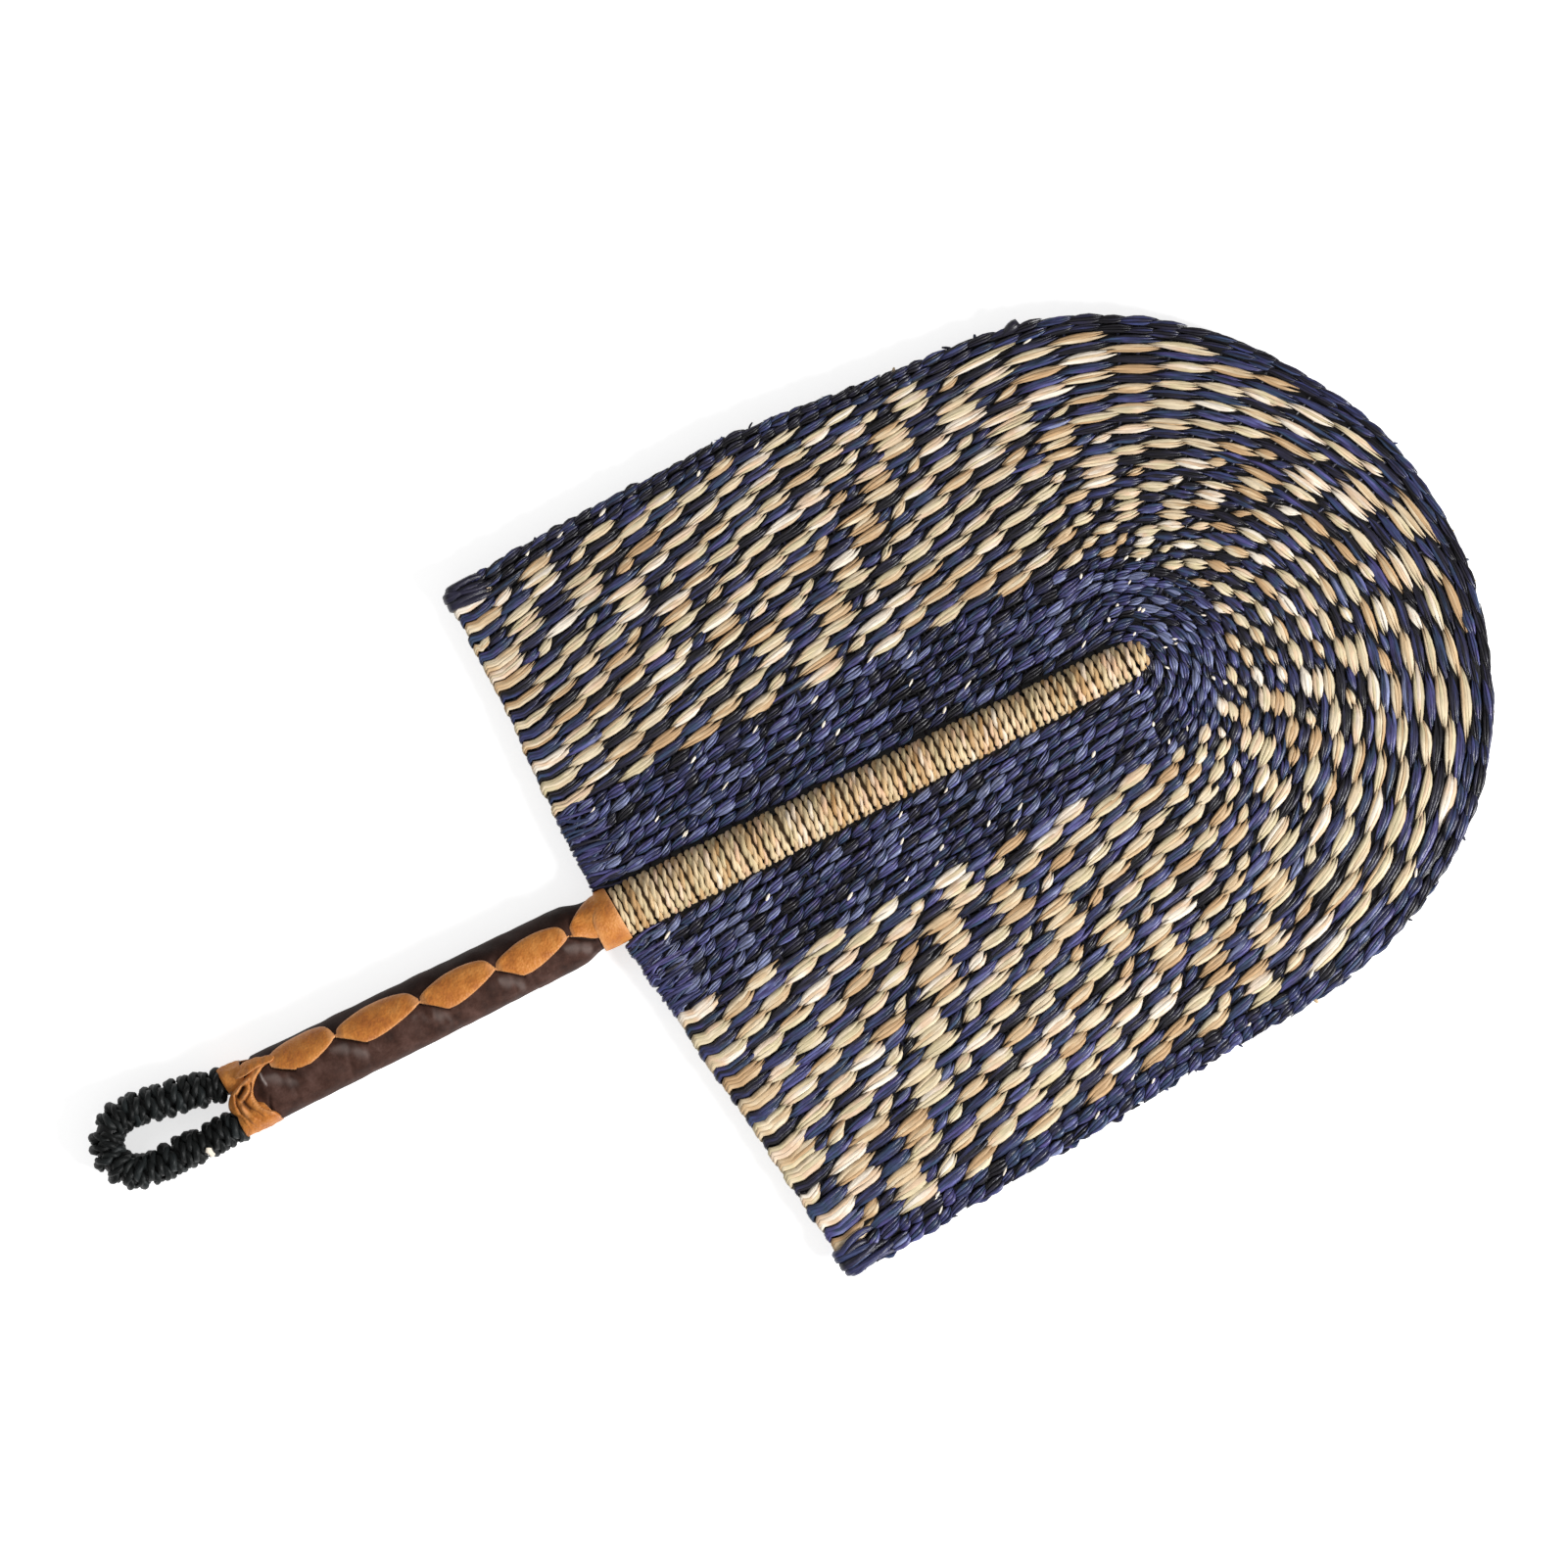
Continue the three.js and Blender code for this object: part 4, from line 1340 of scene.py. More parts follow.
@dataclass
class Loop:
    """The hanging loop: a bent rope whose ends lie in the grip, wound with black straw.

    The keys are points of its middle line, as millimetres from the left hem and towards the fan's left. The
    bare patch, where the core shows, has a middle, a half length, a width and an outward direction.
    """

    outline: Outline
    binding: Binding
    left_keys: tuple = ((-109, 6.4), (-131, 6.4), (-144.4, 7.8), (-161.8, 11.4), (-179.1, 13.6))
    bend_keys: tuple = ((-184.4, 12.2), (-188.3, 8.3), (-189.7, 3), (-188.3, -2.3), (-184.4, -6.2))
    right_keys: tuple = ((-179.1, -7.6), (-161.8, -7.8), (-144.4, -7.2), (-131, -6.4), (-109, -6.4))
    core_radius: float = 4.3 * MM
    winding_radius: float = 4.7 * MM
    inside_grip: float = 35 * MM
    bare_patch: tuple = ((-157.8, -11.5, 5.4), (0.4, -1.9, -1.5), (1, 0.16, 0.13), (0, -0.62, 0.78))

    @property
    def keys(self) -> Array:
        """All the points of the middle line, from its left end."""
        return np.array(self.left_keys + self.bend_keys + self.right_keys) * MM

    @property
    def length(self) -> float:
        """The middle line's length."""
        return float(walked(self.keys)[-1])

    def line(self, run: Array) -> Array:
        """Points of the loop's middle line at given run lengths from its left end."""
        flat = cubic_through(walked(self.keys), self.keys, run)
        return np.concatenate([flat, 0 * run[:, None]], -1) + self.outline.origin

    def frame_at(self, run: Array) -> tuple[Array, Array]:
        """Finds the middle line's points and its outward directions in the loop's plane.

        Args:
            run: Lengths from the left end.

        Returns:
            The points and the directions.
        """
        step = 0.2 * MM
        travel = unit(self.line(run + step) - self.line(run - step))
        return self.line(run), np.stack([-travel[:, 1], travel[:, 0], 0 * run], -1)

    def core_at(self, run: Array, angle: Array, swell: Array) -> tuple[Array, Array]:
        """Follows the loop from cuff to cuff.

        Args:
            run: Lengths along the winding.
            angle: Angles round the core.
            swell: How far the straw stands off there.

        Returns:
            The straw's middles and its outward directions.
        """
        place, aside = self.frame_at(self.inside_grip + run)
        out = aside * np.cos(angle)[:, None] + UP * np.sin(angle)[:, None]
        return place + out * (self.winding_radius + swell)[:, None], out

    def build(self, black: Material, natural: Material) -> None:
        """Builds the rope core, its winding and the bare patch.

        Args:
            black: The dyed straw.
            natural: The undyed straw of the bare patch.
        """
        core, winding = Draft(), Draft()
        place, aside = self.frame_at(np.linspace(0.5 * MM, self.length - 0.5 * MM, 120))
        round_size = {"width": self.core_radius, "depth": self.core_radius}
        # The rope core is painted mostly in shade: it shows only between the winding's turns.
        core.straw({"path": place, "wide": aside, "thick": UP, **round_size, "tone": 0.1, "tuck": 0.85}, 16)
        core.place("loop_rope", [black], Slot.BLACK, "loop_core")
        self.binding.wind(winding, self.length - 2 * self.inside_grip, self.core_at)
        middle, travel, wide, thick = np.array(self.bare_patch, dtype=float)
        share = np.linspace(-1, 1, 9)[:, None]
        path = (middle + share * travel) * MM + self.outline.origin
        size = 1.2 * MM * np.sqrt(1.02 - share[:, 0] ** 2) * (1 + 0.25 * waves(5, share, 0.9))
        facing = {"wide": unit(wide), "thick": unit(thick)}
        look = {"width": size, "depth": size * 0.4, "tone": 1.0, "tuck": 0.12}
        winding.straw({"path": path, **facing, **look}, 10, 1)
        winding.place("loop_binding", [black, natural], Slot.BLACK, "loop_winding")


@dataclass
class Grip:
    """The leather covered grip: a dark sleeve, laced with a tan strip that dives through slits.

    Places on the grip are given as x from the left hem and y towards the fan's left, as seen from the front.
    Lines of them are in millimetres. A leaf's edges are heights over the line between its two necks, at
    the leaf keys' shares of its length. The pucker and the patch of painted sheen have a distance below
    their slit and a width. The knot has for each ring its far point, its near point and a lift, and its
    valleys and crests are lines, each with a depth or height and a width.
    """

    outline: Outline
    length: float = 131 * MM
    sleeve_end: float = -2 * MM
    half_widths: Three = (12.2 * MM, 11.8 * MM, 10.9 * MM)
    half_height: float = 11.2 * MM
    flat_depth: float = 0.9 * MM
    end_radius: float = 8.9 * MM
    collar_start: float = -4.1 * MM
    collar_end: float = 5.6 * MM
    collar_radius: float = 10.1 * MM
    taper: float = 9 * MM
    wall: float = 3.2 * MM
    tongue: float = 4.2 * MM
    tongue_run: float = 14 * MM
    sleeve_rings: int = 420
    sleeve_sides: int = 132
    slit_width: float = 0.55 * MM
    pucker: Pair = (2.0 * MM, 1.1 * MM)
    # Painted sheen: a paler patch below each slit.
    painted_sheen: Pair = (3.4 * MM, 2.0 * MM)
    crease_width: float = 0.9 * MM
    fold_width: float = 0.8
    seam_width: float = 0.4 * MM
    # Painted shade on the sleeve's upper side.
    painted_upper_shade: float = 0.62
    collar_slant: float = 4.6 * MM
    collar_skew: float = 0.7 * MM
    collar_bulge: float = 0.25 * MM
    collar_rings: int = 120
    collar_sides: int = 20
    strap: float = 0.9 * MM
    strap_points: int = 13
    leaf_rings: int = 44
    flare_rings: int = 30
    cuff_rings: int = 40
    cuff_sides: int = 72
    leg_place: float = 6.9
    leg_radius: float = 5.9
    band_rings: int = 48
    band_sides: int = 24
    knot_rings: int = 120
    knot_points: int = 46
    knot_under: int = 12
    knot_thickness: float = 2.4
    necks: tuple = ((-125.5, 6.2), (-101, 6), (-69.5, 3.4), (-41, 2), (-13, 1))
    leaf_corner: float = 0.28
    upper_keys: Floats = (0, 0.13, 0.27, 0.4, 0.53, 0.66, 0.8, 0.92, 1.0)
    lower_keys: Floats = (0, 0.12, leaf_corner, 0.4, 0.53, 0.66, 0.8, 0.92, 1.0)
    upper_leaf: Floats = (0.9, 2.7, 4.0, 4.9, 5.3, 5.4, 5.0, 3.9, 1.2)
    lower_leaf: Floats = (-0.9, -3.2, -6.6, -6.6, -5.9, -4.8, -3.4, -1.9, -0.6)
    first_upper_leaf: Floats = (2.9, 4.2, 4.9, 5.2, 5.3, 5.3, 4.9, 3.9, 1.2)
    first_lower_leaf: Floats = (-0.4, -2.6, -4.9, -5.9, -5.5, -4.6, -3.3, -1.9, -0.6)
    flare_length: float = 15 * MM
    upper_flare: Five = (0.9, 4.2, 6.6, 8.2, 8.6)
    lower_flare: Five = (-0.9, -2.8, -5.2, -6.0, -6.4)
    flare_slit: Three = (7, -1, -5.6)
    crease_places: Floats = (-121, -99, -93, -66, -61, -36, -30)
    crease_slants: Floats = (0.1, 0.25, 0.1, 0.2, 0, 0.2, 0.1)
    tension_folds: tuple = ((7.5, -2.6, 0.8), (3.0, -6.5, 0.7))
    end_crease: tuple = ((-130.6, -3.2), (-131.6, -6.5), (-133.4, -10))
    # A ridge at the sleeve's end, which carries a painted glint.
    end_ridge: tuple = ((-129.9, 5.3), (-129.9, 3.4), (-129.6, 0.9))
    upper_strap: tuple = (
        (-138.5, 8.4, 6.2, 2.2),
        (-134.8, 9.1, 8.4, 3.1),
        (-130.6, 9.4, 8.7, 2.5),
        (-126.6, 8.7, 9.1, 1.8),
        (-123, 8.3, 9.3, 1.4),
    )
    knot_sides: tuple = (
        (-122.5, 9.0, -122.5, 6.6, -1.6),
        (-127.6, 9.2, -127.4, 7.0, -0.6),
        (-132.4, 7.9, -130.4, 5.2, 0.4),
        (-135.0, 6.5, -132.6, 3.6, 1.0),
        (-138.8, 4.9, -134.0, 2.0, 1.4),
        (-142.6, 3.2, -134.8, 0.6, 1.7),
        (-144.8, 0.8, -135.2, -1.0, 1.8),
        (-145.5, -1.8, -135.1, -2.9, 1.7),
        (-144.3, -4.4, -134.3, -5.0, 1.3),
        (-143.2, -6.6, -132.8, -7.0, 1.0),
        (-143.4, -8.8, -131.0, -8.8, 0.8),
        (-144.2, -11.0, -130.2, -10.9, 0.7),
        (-144.6, -12.6, -130.6, -12.5, 0.5),
    )
    knot_valleys: tuple = (
        (((-137.3, 3.4), (-138.6, 2.5), (-140.4, 1.3)), 1.7, 0.75),
        (((-139.5, -1.2), (-138.9, -3.4), (-137.8, -6.0), (-136.2, -9.0)), 1.5, 0.8),
        (((-134.4, 3.6), (-136.0, 1.0), (-138.9, -1.0)), 0.8, 0.4),
        (((-141.0, 2.3), (-142.1, -0.8), (-142.0, -4.2)), 0.9, 0.4),
        (((-142.6, -3.5), (-141.2, -6.5), (-140.4, -10.0)), 0.5, 0.6),
    )
    knot_crests: tuple = (
        (((-134.6, 5.4), (-137.7, 4.4), (-141.4, 2.9)), 0.6, 0.8),
        (
            ((-128.0, 7.4), (-131.4, 5.9), (-134.4, 2.7), (-135.9, -1.0), (-134.9, -5.2), (-132.0, -8.4)),
            0.5,
            0.9,
        ),
        (((-137.0, 1.2), (-138.9, 0.4), (-140.6, -2.8), (-140.6, -6.0)), 0.5, 0.8),
    )

    def sizes(self, x: Array) -> tuple[Array, Array]:
        """Sizes the sleeve, which eases down to a round end under the collar.

        Args:
            x: Places along the grip.

        Returns:
            The half widths and the half heights there.
        """
        width = np.interp(x, [-self.length, -self.length / 2, 0], self.half_widths)
        eased = fade(x, self.collar_start - self.taper, self.collar_start)
        height = self.half_height + (self.end_radius - self.half_height) * eased
        return width + (self.end_radius - width) * eased, height

    def around(self, x: Array, angle: Array, lift: Array) -> Array:
        """Finds points round the sleeve: an oval round X, pressed flat underneath.

        Args:
            x: Places along the grip.
            angle: From +Y towards the front.
            lift: Distance outside the sleeve's face.

        Returns:
            Points in the part's frame.
        """
        width, height = self.sizes(x)
        y = (width + lift) * np.cos(angle)
        z = np.maximum((height + lift) * np.sin(angle), self.flat_depth - self.half_height)
        return np.stack(np.broadcast_arrays(x, y, z), -1) + self.outline.origin

    def on_front(self, x: Array, y: Array, lift: Array) -> Array:
        """Points on the sleeve's front at given x and y, lifted off its face."""
        width, _ = self.sizes(x)
        return self.around(x, np.arccos(np.clip(y / (width + np.maximum(lift, 0)), -1, 1)), lift)

    def leaf_edges(self, leaf: int, t: Array) -> tuple[Array, Array, Array]:
        """Finds a leaf's edges: a smooth height over the line between its necks, and a cornered one under it.

        Args:
            leaf: The leaf's number, from the loop.
            t: Shares of its length.

        Returns:
            The places x, the lower y and the upper y.
        """
        start, end = np.array(self.necks[leaf : leaf + 2]) * MM
        x, base = start[:, None] + (end - start)[:, None] * t
        upper = np.array(self.upper_leaf if leaf else self.first_upper_leaf) * MM
        lower = np.array(self.lower_leaf if leaf else self.first_lower_leaf) * MM
        return x, base + np.interp(t, self.lower_keys, lower), base + cubic_through(self.upper_keys, upper, t)

    def strip(self, draft: Draft, edges: tuple[Array, Array, Array], **shape: Array) -> None:
        """Adds a piece of strap that lies on the sleeve's front.

        Each ring runs over the strap's crowned top and back along its underside. With a from -1 to 1 across
        the strap, the crown is the root of 1 - a^6.

        Args:
            draft: The mesh that takes it.
            edges: Places along the grip, and the strap's lower and upper edge there.
            **shape: "lift" raises each ring, "dip" lowers its lower edge, "pale" lightens it.
        """
        x, low, high = (edge[:, None] for edge in edges)
        lift, dip, pale = (shape.get(key, np.zeros(len(x)))[:, None] for key in ("lift", "dip", "pale"))
        across = np.sin(np.linspace(-0.5, 0.5, self.strap_points) * math.pi)
        y = (low + high) / 2 + (high - low) / 2 * across
        x = np.broadcast_to(x, y.shape)
        crown = (1 - across**6) ** 0.5
        lift = lift - dip * np.clip(-across, 0, 1) ** 4
        soft = waves(43, np.stack([x, y], -1), 6 * MM) * 0.12 * MM * crown
        upper = self.on_front(x, y, self.strap * (0.3 + 0.65 * crown) + soft + lift)
        under = self.on_front(x, y * 0.995, 0.3 * MM * across - self.strap * 0.7 + lift)
        pale = np.clip(np.abs(across) ** 16 * 0.5 + pale, 0, 1)
        grid = np.concatenate([upper, under[:, ::-1]], 1)
        draft.tube(grid, edge=np.concatenate([pale, pale[:, ::-1]], 1), tuck=0.0)

    @staticmethod
    def beside(place: Array, line: tuple, width: float) -> Array:
        """Tells how near points are to a smooth curve, as a bell beside it.

        Args:
            place: Points, as x from the left hem and y.
            line: The curve's keys, in millimetres.
            width: How far it reaches to either side, in millimetres.

        Returns:
            A number for each point, 1 on the curve.
        """
        dense = smooth_line(np.array(line) * MM, 24)
        return near(np.linalg.norm(place[..., None, :] - dense, axis=-1).min(-1), width * MM)

    def slit_lines(self) -> list[Array]:
        """Finds the slits in the sleeve: along the lower edge of each leaf's start, and of the flare.

        Returns:
            Points as x and y, from the loop to the blade.
        """
        t = np.clip(np.linspace(-0.02, self.leaf_corner, 14), 0, 1)
        lines = [np.stack(self.leaf_edges(leaf, t)[:2], -1) for leaf in range(4)]
        reach, start, end = self.flare_slit
        last = np.array([(0, start), (reach, end)]) + self.necks[4]
        return [*lines, smooth_line(last * MM, 14)]

    def slit_marks(self, place: Array) -> tuple[Array, Array, Array]:
        """Marks the sleeve's leather beside its slits: what the lacing does to it, and a painted sheen.

        Args:
            place: Points, as x from the left hem and y.

        Returns:
            The groove of the slits, and the pucker and the patch of painted sheen that lie below them.
        """
        groove, pucker, painted_sheen = np.zeros((3, *place.shape[:2]))
        for line in self.slit_lines():
            away = np.linalg.norm(place[:, :, None] - line, axis=-1).min(-1)
            below = fade(line[:, 1].mean() - place[..., 1], -1 * MM, 1 * MM)
            below = below * fade(line[-1, 0] - place[..., 0], 0, 2 * MM)
            groove = np.maximum(groove, near(away, self.slit_width))
            pucker = np.maximum(pucker, near(away - self.pucker[0], self.pucker[1]) * below)
            painted_sheen = np.maximum(painted_sheen, near(away - self.painted_sheen[0], self.painted_sheen[1]) * below)
        return groove, pucker, painted_sheen

    def sleeve(self, leather: Material) -> None:
        """Builds the dark sleeve, puckered along its slits and creased where the lacing pulls it.

        Its face is the oval of around, lifted by slow waves, creases across the grip, puckers and folds,
        and cut by the grooves of the slits, of one crease at its end and of the seam underneath. Painted
        shade darkens these grooves, the inside and the upper side, and a painted glint and painted sheen
        lighten the ridge at its end and the leather below the slits.

        Args:
            leather: The dark leather.
        """
        angle = ring_angles(self.sleeve_sides)[None, :]
        upright = np.sin(angle)
        tongue = self.tongue * fade(upright, -0.1, 0.3)
        x = np.linspace(-self.length, self.sleeve_end, self.sleeve_rings)[:, None]
        x = x - tongue * (1 - fade(x, -self.length, -self.length + self.tongue_run))
        flat = self.around(x, angle, 0 * x)
        front = flat[..., 2] > self.outline.axis_z
        place = (flat - self.outline.origin)[..., :2]
        groove, pucker, painted_sheen = (mark * front for mark in self.slit_marks(place))
        creases = waves(21, flat * [1.6, 1, 1], 15 * MM) * 0.26 * MM + waves(22, flat, 6 * MM) * 0.12 * MM
        creases = creases * (0.35 + 0.65 * fade(upright, 0.1, 0.7))
        lower = fade(-place[..., 1], -2 * MM, 4 * MM) * front
        for centre, slant in zip(self.crease_places, self.crease_slants):
            away = place[..., 0] - centre * MM - slant * place[..., 1]
            creases -= near(away, self.crease_width) * lower * 0.3 * MM
        pulled = np.zeros(front.shape)
        for leaf in range(4):
            corner = np.ravel(self.leaf_edges(leaf, np.array([self.leaf_corner]))[:2]) / MM
            for across, down, weight in self.tension_folds:
                line = (corner, corner + [across * 0.55, down * 0.45], corner + [across, down])
                pulled = np.maximum(pulled, self.beside(place, line, self.fold_width) * weight * front)
        seam = near(place[..., 1], self.seam_width) * ~front
        fold = self.beside(place, self.end_crease, 0.5) * front
        wear_and_glint = self.beside(place, self.end_ridge, 0.3) * front
        groove = np.maximum(groove, np.maximum(seam, 0.5 * fold))
        lift = creases + (0.3 * pulled + 0.45 * pucker + 0.4 * wear_and_glint - 1.1 * groove) * MM
        outer = self.around(x, angle, lift - np.clip(-self.length - x, 0, None) * 0.6)
        few = np.linspace(-self.length, self.sleeve_end, 9)[:, None]
        inner = self.around(few - tongue * (few == few[0]), angle, 0 * few - self.wall)
        # Painted shade: the grooves are darkened, and the upper side, where less light falls.
        painted_upper_shade = self.painted_upper_shade * fade(place[..., 1], 3 * MM, 9 * MM) * front
        dark = np.clip(np.maximum(groove * 1.1, painted_upper_shade), 0, 1)
        # Painted glint on the end ridge, and painted sheen below the slits.
        pale = wear_and_glint * 0.7 + painted_sheen * np.clip(0.6 + waves(45, flat, 5 * MM), 0, 1) * 0.14
        hidden = np.zeros(inner.shape[:2])
        # Painted shade over the whole inside.
        marks = {"edge": np.vstack([pale, hidden]), "tuck": np.vstack([dark, hidden + 1])}
        draft = Draft()
        draft.tube(np.concatenate([outer, inner[::-1]]), closed=True, **marks)
        draft.place("grip_leather", [leather], Slot.DARK_LEATHER, "grip_sleeve")

    def lacing(self, leather: Material) -> None:
        """Builds the four leaves of the lacing and the fifth, which flares into the collar.

        Args:
            leather: The tan leather.
        """
        draft = Draft()
        t = 0.5 - 0.5 * np.cos(np.linspace(0.02, 1, self.leaf_rings) * math.pi)
        for leaf in range(4):
            dive = (1.0 if leaf else 0.2) * (1 - fade(t, 0, 0.1)) + 0.7 * fade(t, 0.93, 1.0)
            dip = 0.5 * MM * (1 - fade(t, 0.16, 0.3))
            pale = 0.5 * (1 - fade(t, 0, 0.12)) + 0.4 * fade(t, 0.86, 1.0)
            self.strip(draft, self.leaf_edges(leaf, t), lift=-dive * MM, dip=dip, pale=pale)
        reach = np.linspace(0, 1, self.flare_rings)
        x, y = np.array(self.necks[4]) * MM
        keys = np.linspace(0, 1, 5)
        flares = (self.lower_flare, self.upper_flare)
        lower, upper = (y + cubic_through(keys, np.array(flare) * MM, reach) for flare in flares)
        lift = (fade(reach, 0, 0.16) - 1 + 0.35 * fade(reach, 0.4, 0.8)) * MM
        pale = 0.5 * (1 - fade(reach, 0, 0.2))
        self.strip(draft, (x + reach * self.flare_length, lower, upper), lift=lift, pale=pale)
        draft.place("lacing", [leather], Slot.TAN_LEATHER, "lacing_strip")

    def collar(self, leather: Material) -> None:
        """Builds the collar: a band whose edge towards the grip slants, wider on the fan's right.

        Its section is a box with rounded corners, carried round the sleeve's end.

        Args:
            leather: The tan leather.
        """
        angle, section = ring_angles(self.collar_rings)[:, None], ring_angles(self.collar_sides)
        side = np.sin(angle) * 0.35 - np.cos(angle)
        start = self.collar_start + fade(-side, -0.6, 1.0) * self.collar_slant
        end = self.collar_end + side * self.collar_skew
        across, out = signed_power(np.cos(section), 0.35), signed_power(np.sin(section), 0.5)
        x = (start + end) / 2 + (end - start) / 2 * across
        bulge = (1 - across**2) * self.collar_bulge + waves(41, angle, 1.3)[:, None] * 0.12 * MM
        radius = self.collar_radius - self.strap / 2 + out * self.strap / 2 + bulge
        grid = np.stack([x, radius * np.cos(angle), radius * np.sin(angle)], -1) + self.outline.origin
        pale = np.broadcast_to(np.abs(across) ** 4 * 0.5, x.shape)
        draft = Draft()
        draft.tube(grid, closed=True, edge=pale, tuck=0.0)
        draft.place("collar", [leather], Slot.TAN_LEATHER, "blade_collar")

    @staticmethod
    def leg_height(x: Array) -> Array:
        """How high the leather stands over the axis at x in millimetres, from the loop up to the sleeve."""
        return 5.3 + 4.6 * np.clip((x + 144) / 13, 0, 1) ** 0.75

    def cuff(self, side: Side) -> Array:
        """Makes one leg's cuff: leather wrapped round the loop's leg, which widens to meet the sleeve.

        Its front edge towards the sleeve slants, and the leather is drawn into soft folds. Its start, end,
        middle and half width are in millimetres, until the last line.

        Args:
            side: The fan's side that the leg is on.

        Returns:
            Points as rings by sides by three, over the outside and back along the inside.
        """
        angle = ring_angles(self.cuff_sides)[None, :]
        share = np.linspace(0, 1, self.cuff_rings)[:, None]
        inner, rise = np.cos(angle), np.sin(angle)
        if side is Side.LEFT:
            start, end = -143.3 + 0.4 * inner, -135.6 - 0.4 * inner
            middle, half = 7.9 - 0.9 * share, 5.1 + 0.5 * share
        else:
            start, end = -144.2 + 1.0 * np.clip(inner, 0, 1), -132.4 - 2.2 * inner
            middle, half = 6.9 - 0.2 * share, 5.4 + 0.45 * share**3
        blend = fade(rise, -0.8, -0.3)
        x = start + (end * blend - 131.5 * (1 - blend) - start) * share
        y = (middle - half * signed_power(inner, 0.9)) * side.value
        z = self.leg_height(x) * signed_power(rise, 0.85)
        z = np.maximum(z, (self.flat_depth - self.half_height) / MM)
        outside = np.stack([x, y, z], -1)
        radial = unit(np.stack([0 * x, y - middle * side.value, z], -1))
        folds = waves(51 + side.value, outside * [0.5, 1, 1], 5.5) * 0.28 + waves(61, outside, 2.6) * 0.1
        rounding = 1 - 0.8 * np.exp(-share * 14) - 0.8 * np.exp(-(1 - share) * 14)
        outside = outside + radial * (folds * np.sin(share * math.pi) ** 0.5 + 0.35 * rounding)[..., None]
        inside = (outside - radial)[[-1, 0]]
        return np.concatenate([outside, inside]) * MM + self.outline.origin

    def band(self, draft: Draft, keys: tuple, thickness: float) -> None:
        """Adds a free band of leather: an oval along a smooth curve, pointed into its fold at each end.

        Args:
            draft: The mesh that takes it.
            keys: The curve's x, y and z from the axis, and the band's half width, in millimetres.
            thickness: The band's half thickness in metres.
        """
        keys = np.array(keys, dtype=float)
        knots = walked(keys[:, :3])
        run = np.linspace(0, knots[-1], self.band_rings)
        curve = cubic_through(knots, keys, run) * MM
        travel = unit(np.gradient(curve[:, :3], axis=0))
        thick = unit(curve[:, :3] * [0, 1, 1])
        thick = unit(thick - travel * (thick * travel).sum(1)[:, None])
        wide = np.cross(thick, travel)
        ends = np.clip(np.minimum(run, knots[-1] - run) / 1.2, 0.05, 1) ** 0.6
        path = curve[:, :3] + self.outline.origin
        grid = sweep(path, wide, thick, curve[:, 3] * ends, thickness * ends, self.band_sides)
        wrinkle = waves(75, grid / MM * [0.6, 1.4, 0.6], 2.6) * 0.22 * MM * ends[:, None]
        pale = np.broadcast_to(np.abs(np.cos(ring_angles(self.band_sides))) ** 12 * 0.5, wrinkle.shape)
        draft.tube(grid + thick[:, None] * wrinkle[..., None], edge=pale, tuck=0.0)

    def knot(self, draft: Draft) -> None:
        """Adds the knot: one sheet of leather, drawn together from the first leaf and spread over both legs.

        Its height is that of the cuffs below, plus a lift for each ring, less each valley and plus each
        crest, which fall off beside their lines. Painted shade darkens the valleys and the underside, and
        painted highlights lighten the crests.

        Args:
            draft: The mesh that takes it.
        """
        ring = smooth_line(np.array(self.knot_sides), self.knot_rings)
        share = np.linspace(0, 1, self.knot_points)[None, :]
        flat = ring[:, None, 2:4] * (1 - share[..., None]) + ring[:, None, :2] * share[..., None]
        x, y = flat[..., 0], flat[..., 1]
        outside = np.clip((np.abs(y) - self.leg_place) / self.leg_radius, 0, 1)
        spread = np.abs(2 * share - 1)
        z = self.leg_height(x) * np.sqrt(1 - outside**2) + ring[:, 4:5] * (1 - spread**4) - 1.3 * spread**12
        z = z + waves(81, flat, 4.2) * 0.2 + waves(82, flat, 1.6) * 0.05
        # The valleys get painted shade and the crests painted highlights.
        deep, pale = np.zeros((2, *x.shape))
        for line, depth, width in self.knot_valleys:
            close = self.beside(flat * MM, line, width)
            z = z - depth * close
            deep = np.maximum(deep, close * min(depth * 0.62, 1))
        for line, rise, width in self.knot_crests:
            close = self.beside(flat * MM, line, width)
            z = z + rise * close * (1 - deep)
            pale = np.maximum(pale, close * rise)
        top = np.stack([x, y, z], -1)
        backwards = np.linspace(self.knot_points - 1, 0, self.knot_under).astype(int)[1:-1]
        below = top[:, backwards] - self.knot_thickness * UP
        grid = np.concatenate([top, below], 1) * MM + self.outline.origin
        # Painted highlights on the crests, and painted shade in the valleys and on the underside.
        edge = np.concatenate([pale * 0.6, 0 * below[..., 0]], 1)
        draft.tube(grid, edge=edge, tuck=np.concatenate([deep, 0.6 + 0 * below[..., 0]], 1))

    def ties(self, leather: Material) -> None:
        """Builds the two cuffs, and the strap that is knotted over the notch between them.

        Args:
            leather: The tan leather.
        """
        for side in Side:
            name, grid, draft = side.name.lower(), self.cuff(side), Draft()
            wear_and_glint, inside = np.zeros((2, len(grid)))
            wear_and_glint[[0, self.cuff_rings - 1]] = 0.45
            # Painted shade over the cuff's inside.
            inside[self.cuff_rings :] = 0.9
            draft.tube(grid, closed=True, edge=wear_and_glint, tuck=inside)
            draft.place(f"{name}_cuff", [leather], Slot.TAN_LEATHER, f"{name}_leg_cuff")
        knot = Draft()
        self.band(knot, self.upper_strap, 0.5 * MM)
        self.knot(knot)
        knot.place("knotted_strap", [leather], Slot.TAN_LEATHER, "crossing_strap")

    def build(self, dark: Material, tan: Material) -> None:
        """Builds the sleeve, the lacing, the collar, the cuffs and the knot.

        Args:
            dark: The sleeve's leather.
            tan: The straps' leather.
        """
        self.sleeve(dark)
        self.lacing(tan)
        self.collar(tan)
        self.ties(tan)


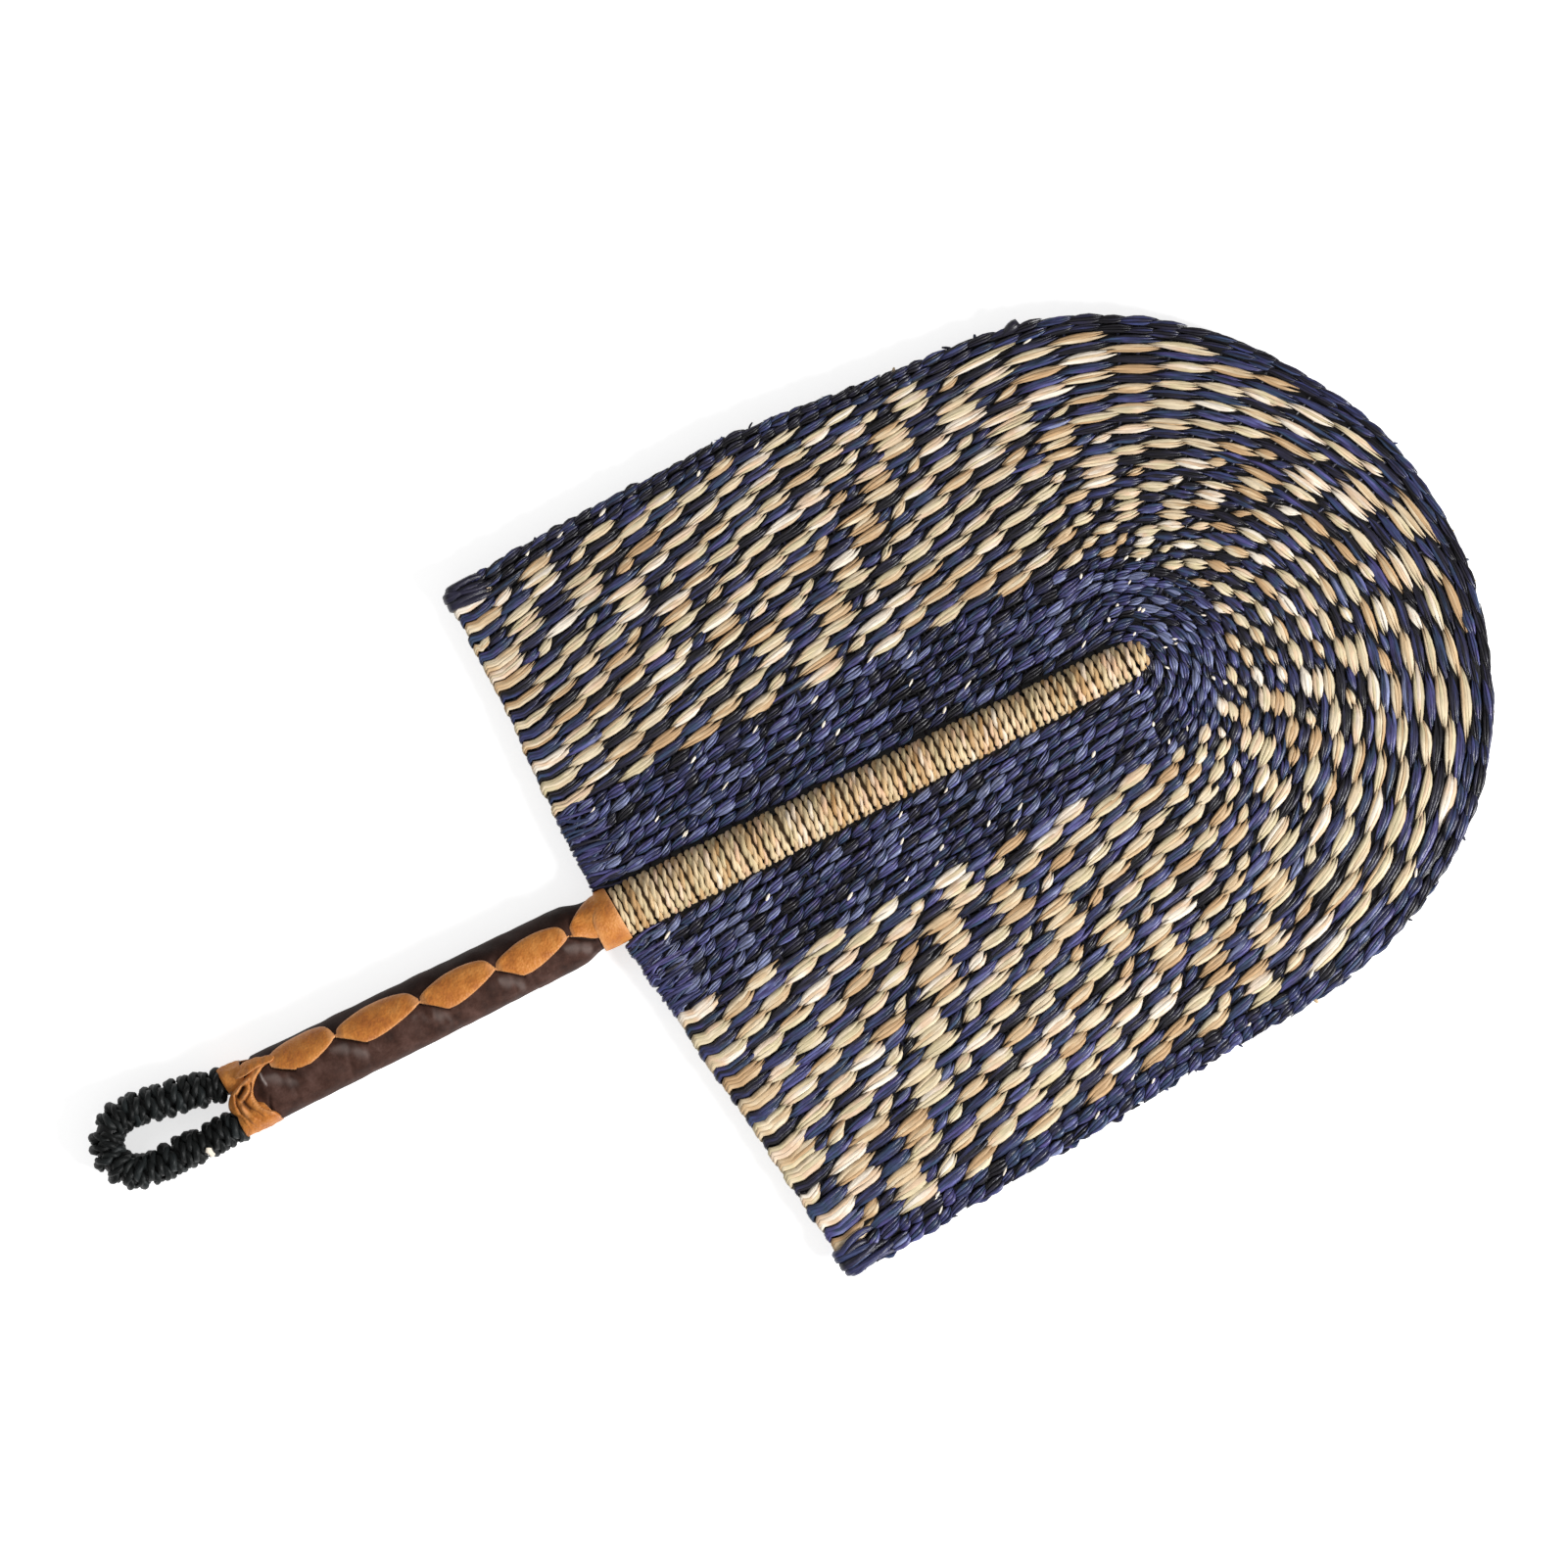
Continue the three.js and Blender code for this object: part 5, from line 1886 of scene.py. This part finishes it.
@dataclass
class Studio:
    """The pale floor, the soft lamps and the camera of the photograph's view.

    A lamp has a name, a place, its watts and the size of its square in metres.
    """

    outline: Outline
    metres_per_pixel: float = 0.34 * MM
    picture_pixels: int = 1601
    spine_tilt: float = math.radians(26.346)
    centre_from_hem: float = 77 * MM
    centre_to_left: float = 14.6 * MM
    camera_height: float = 3.0
    sensor: float = 36.0
    floor_glow: float = 0.66
    floor_half: float = 4.0
    floor_gap: float = 0.4 * MM
    sky: float = 0.31
    lamps: tuple = (("key", (1.1, -1.2, 1.2), 48.0, 0.6), ("fill", (-0.9, 1.0, 1.7), 4.0, 0.9))

    def add(self, name: str, data: bpy.types.ID, place: tuple = (0, 0, 0)) -> bpy.types.Object:
        """Puts an object into the scene.

        Args:
            name: Its name.
            data: Its camera, lamp or mesh.
            place: Where it stands.

        Returns:
            The object.
        """
        thing = bpy.data.objects.new(name, data)
        thing.location = place
        bpy.context.scene.collection.objects.link(thing)
        return thing

    def floor_finish(self) -> Material:
        """Makes white painted board, which glows a little for the camera, so that only its shadows are grey.

        Returns:
            The material.
        """
        material, tree = new_material("white_painted_board")
        board = add_node(tree, "BsdfPrincipled", {"Base Color": linear("F7F7F7"), "Roughness": 0.9}, {})
        kinds = ("Is Camera Ray", "Is Glossy Ray", "Is Transmission Ray")
        seen, *others = (add_node(tree, "LightPath", {}, {}, kind) for kind in kinds)
        for other in others:
            seen = add_node(tree, "Math", {"operation": "MAXIMUM"}, {0: seen, 1: other})
        strength = add_node(tree, "Math", {"operation": "MULTIPLY", 1: self.floor_glow}, {0: seen})
        glow = add_node(tree, "Emission", {}, {"Strength": strength})
        surface = add_node(tree, "AddShader", {}, {0: board, 1: glow})
        add_node(tree, "OutputMaterial", {}, {"Surface": surface})
        return material

    def build(self) -> None:
        """Builds the camera, floor, world and lamps."""
        scene = bpy.context.scene
        lens = bpy.data.cameras.new("camera")
        lens.sensor_width = self.sensor
        lens.lens = self.sensor * self.camera_height / (self.metres_per_pixel * self.picture_pixels)
        above = self.camera_height + self.outline.axis_z
        place = (self.outline.hem_x + self.centre_from_hem, self.centre_to_left, above)
        scene.camera = self.add("camera", lens, place)
        scene.camera.rotation_euler = (0, 0, -self.spine_tilt)

        mesh = bpy.data.meshes.new("floor")
        half = self.floor_half
        corners = [(-half, -half), (half, -half), (half, half), (-half, half)]
        mesh.from_pydata([(*corner, -self.floor_gap) for corner in corners], [], [(0, 1, 2, 3)])
        mesh.materials.append(self.floor_finish())
        floor = self.add("floor", mesh)

        scene.world = bpy.data.worlds.new("studio")
        scene.world.use_nodes = True
        tree = scene.world.node_tree
        tree.nodes.clear()
        sky = add_node(tree, "Background", {"Color": linear("FFFFFF"), "Strength": self.sky}, {})
        add_node(tree, "OutputWorld", {}, {"Surface": sky})
        for name, place, power, size in self.lamps:
            lamp = bpy.data.lights.new(name, "AREA")
            lamp.energy = power
            lamp.size = size
            holder = self.add(name, lamp, place)
            holder.rotation_euler = (floor.location - holder.location).to_track_quat("-Z", "Y").to_euler()
        scene.view_settings.view_transform = "Standard"


def main() -> None:
    """Builds the fan and its studio."""
    logging.basicConfig(level=logging.INFO, format="%(name)s %(message)s")
    outline = Outline()
    Studio(outline).build()
    natural = NATURAL_STRAW.material()
    straws = [NAVY_STRAW.material(), natural]
    weave = Weave(outline)
    weave.build(straws)
    Warps(outline, weave).build(straws)
    fine = {"pitch": 2.65 * MM, "ply_radius": 0.8 * MM, "ply_offset": 0.52 * MM, "ply_lay": 10 * MM}
    SpineBinding(outline, Binding(**fine, lean=0.5 * MM)).build(BINDING_STRAW.material())
    thick = {"pitch": 3.9 * MM, "ply_radius": 1.34 * MM, "ply_offset": 1.02 * MM, "ply_lay": 9 * MM}
    black = Binding(**thick, turn_jitter=0.12, swell=0.25 * MM, sides=8, seed=53)
    Loop(outline, black).build(BLACK_STRAW.material(), natural)
    Grip(outline).build(DARK_LEATHER.material(), TAN_LEATHER.material())


if __name__ == "__main__":
    main()
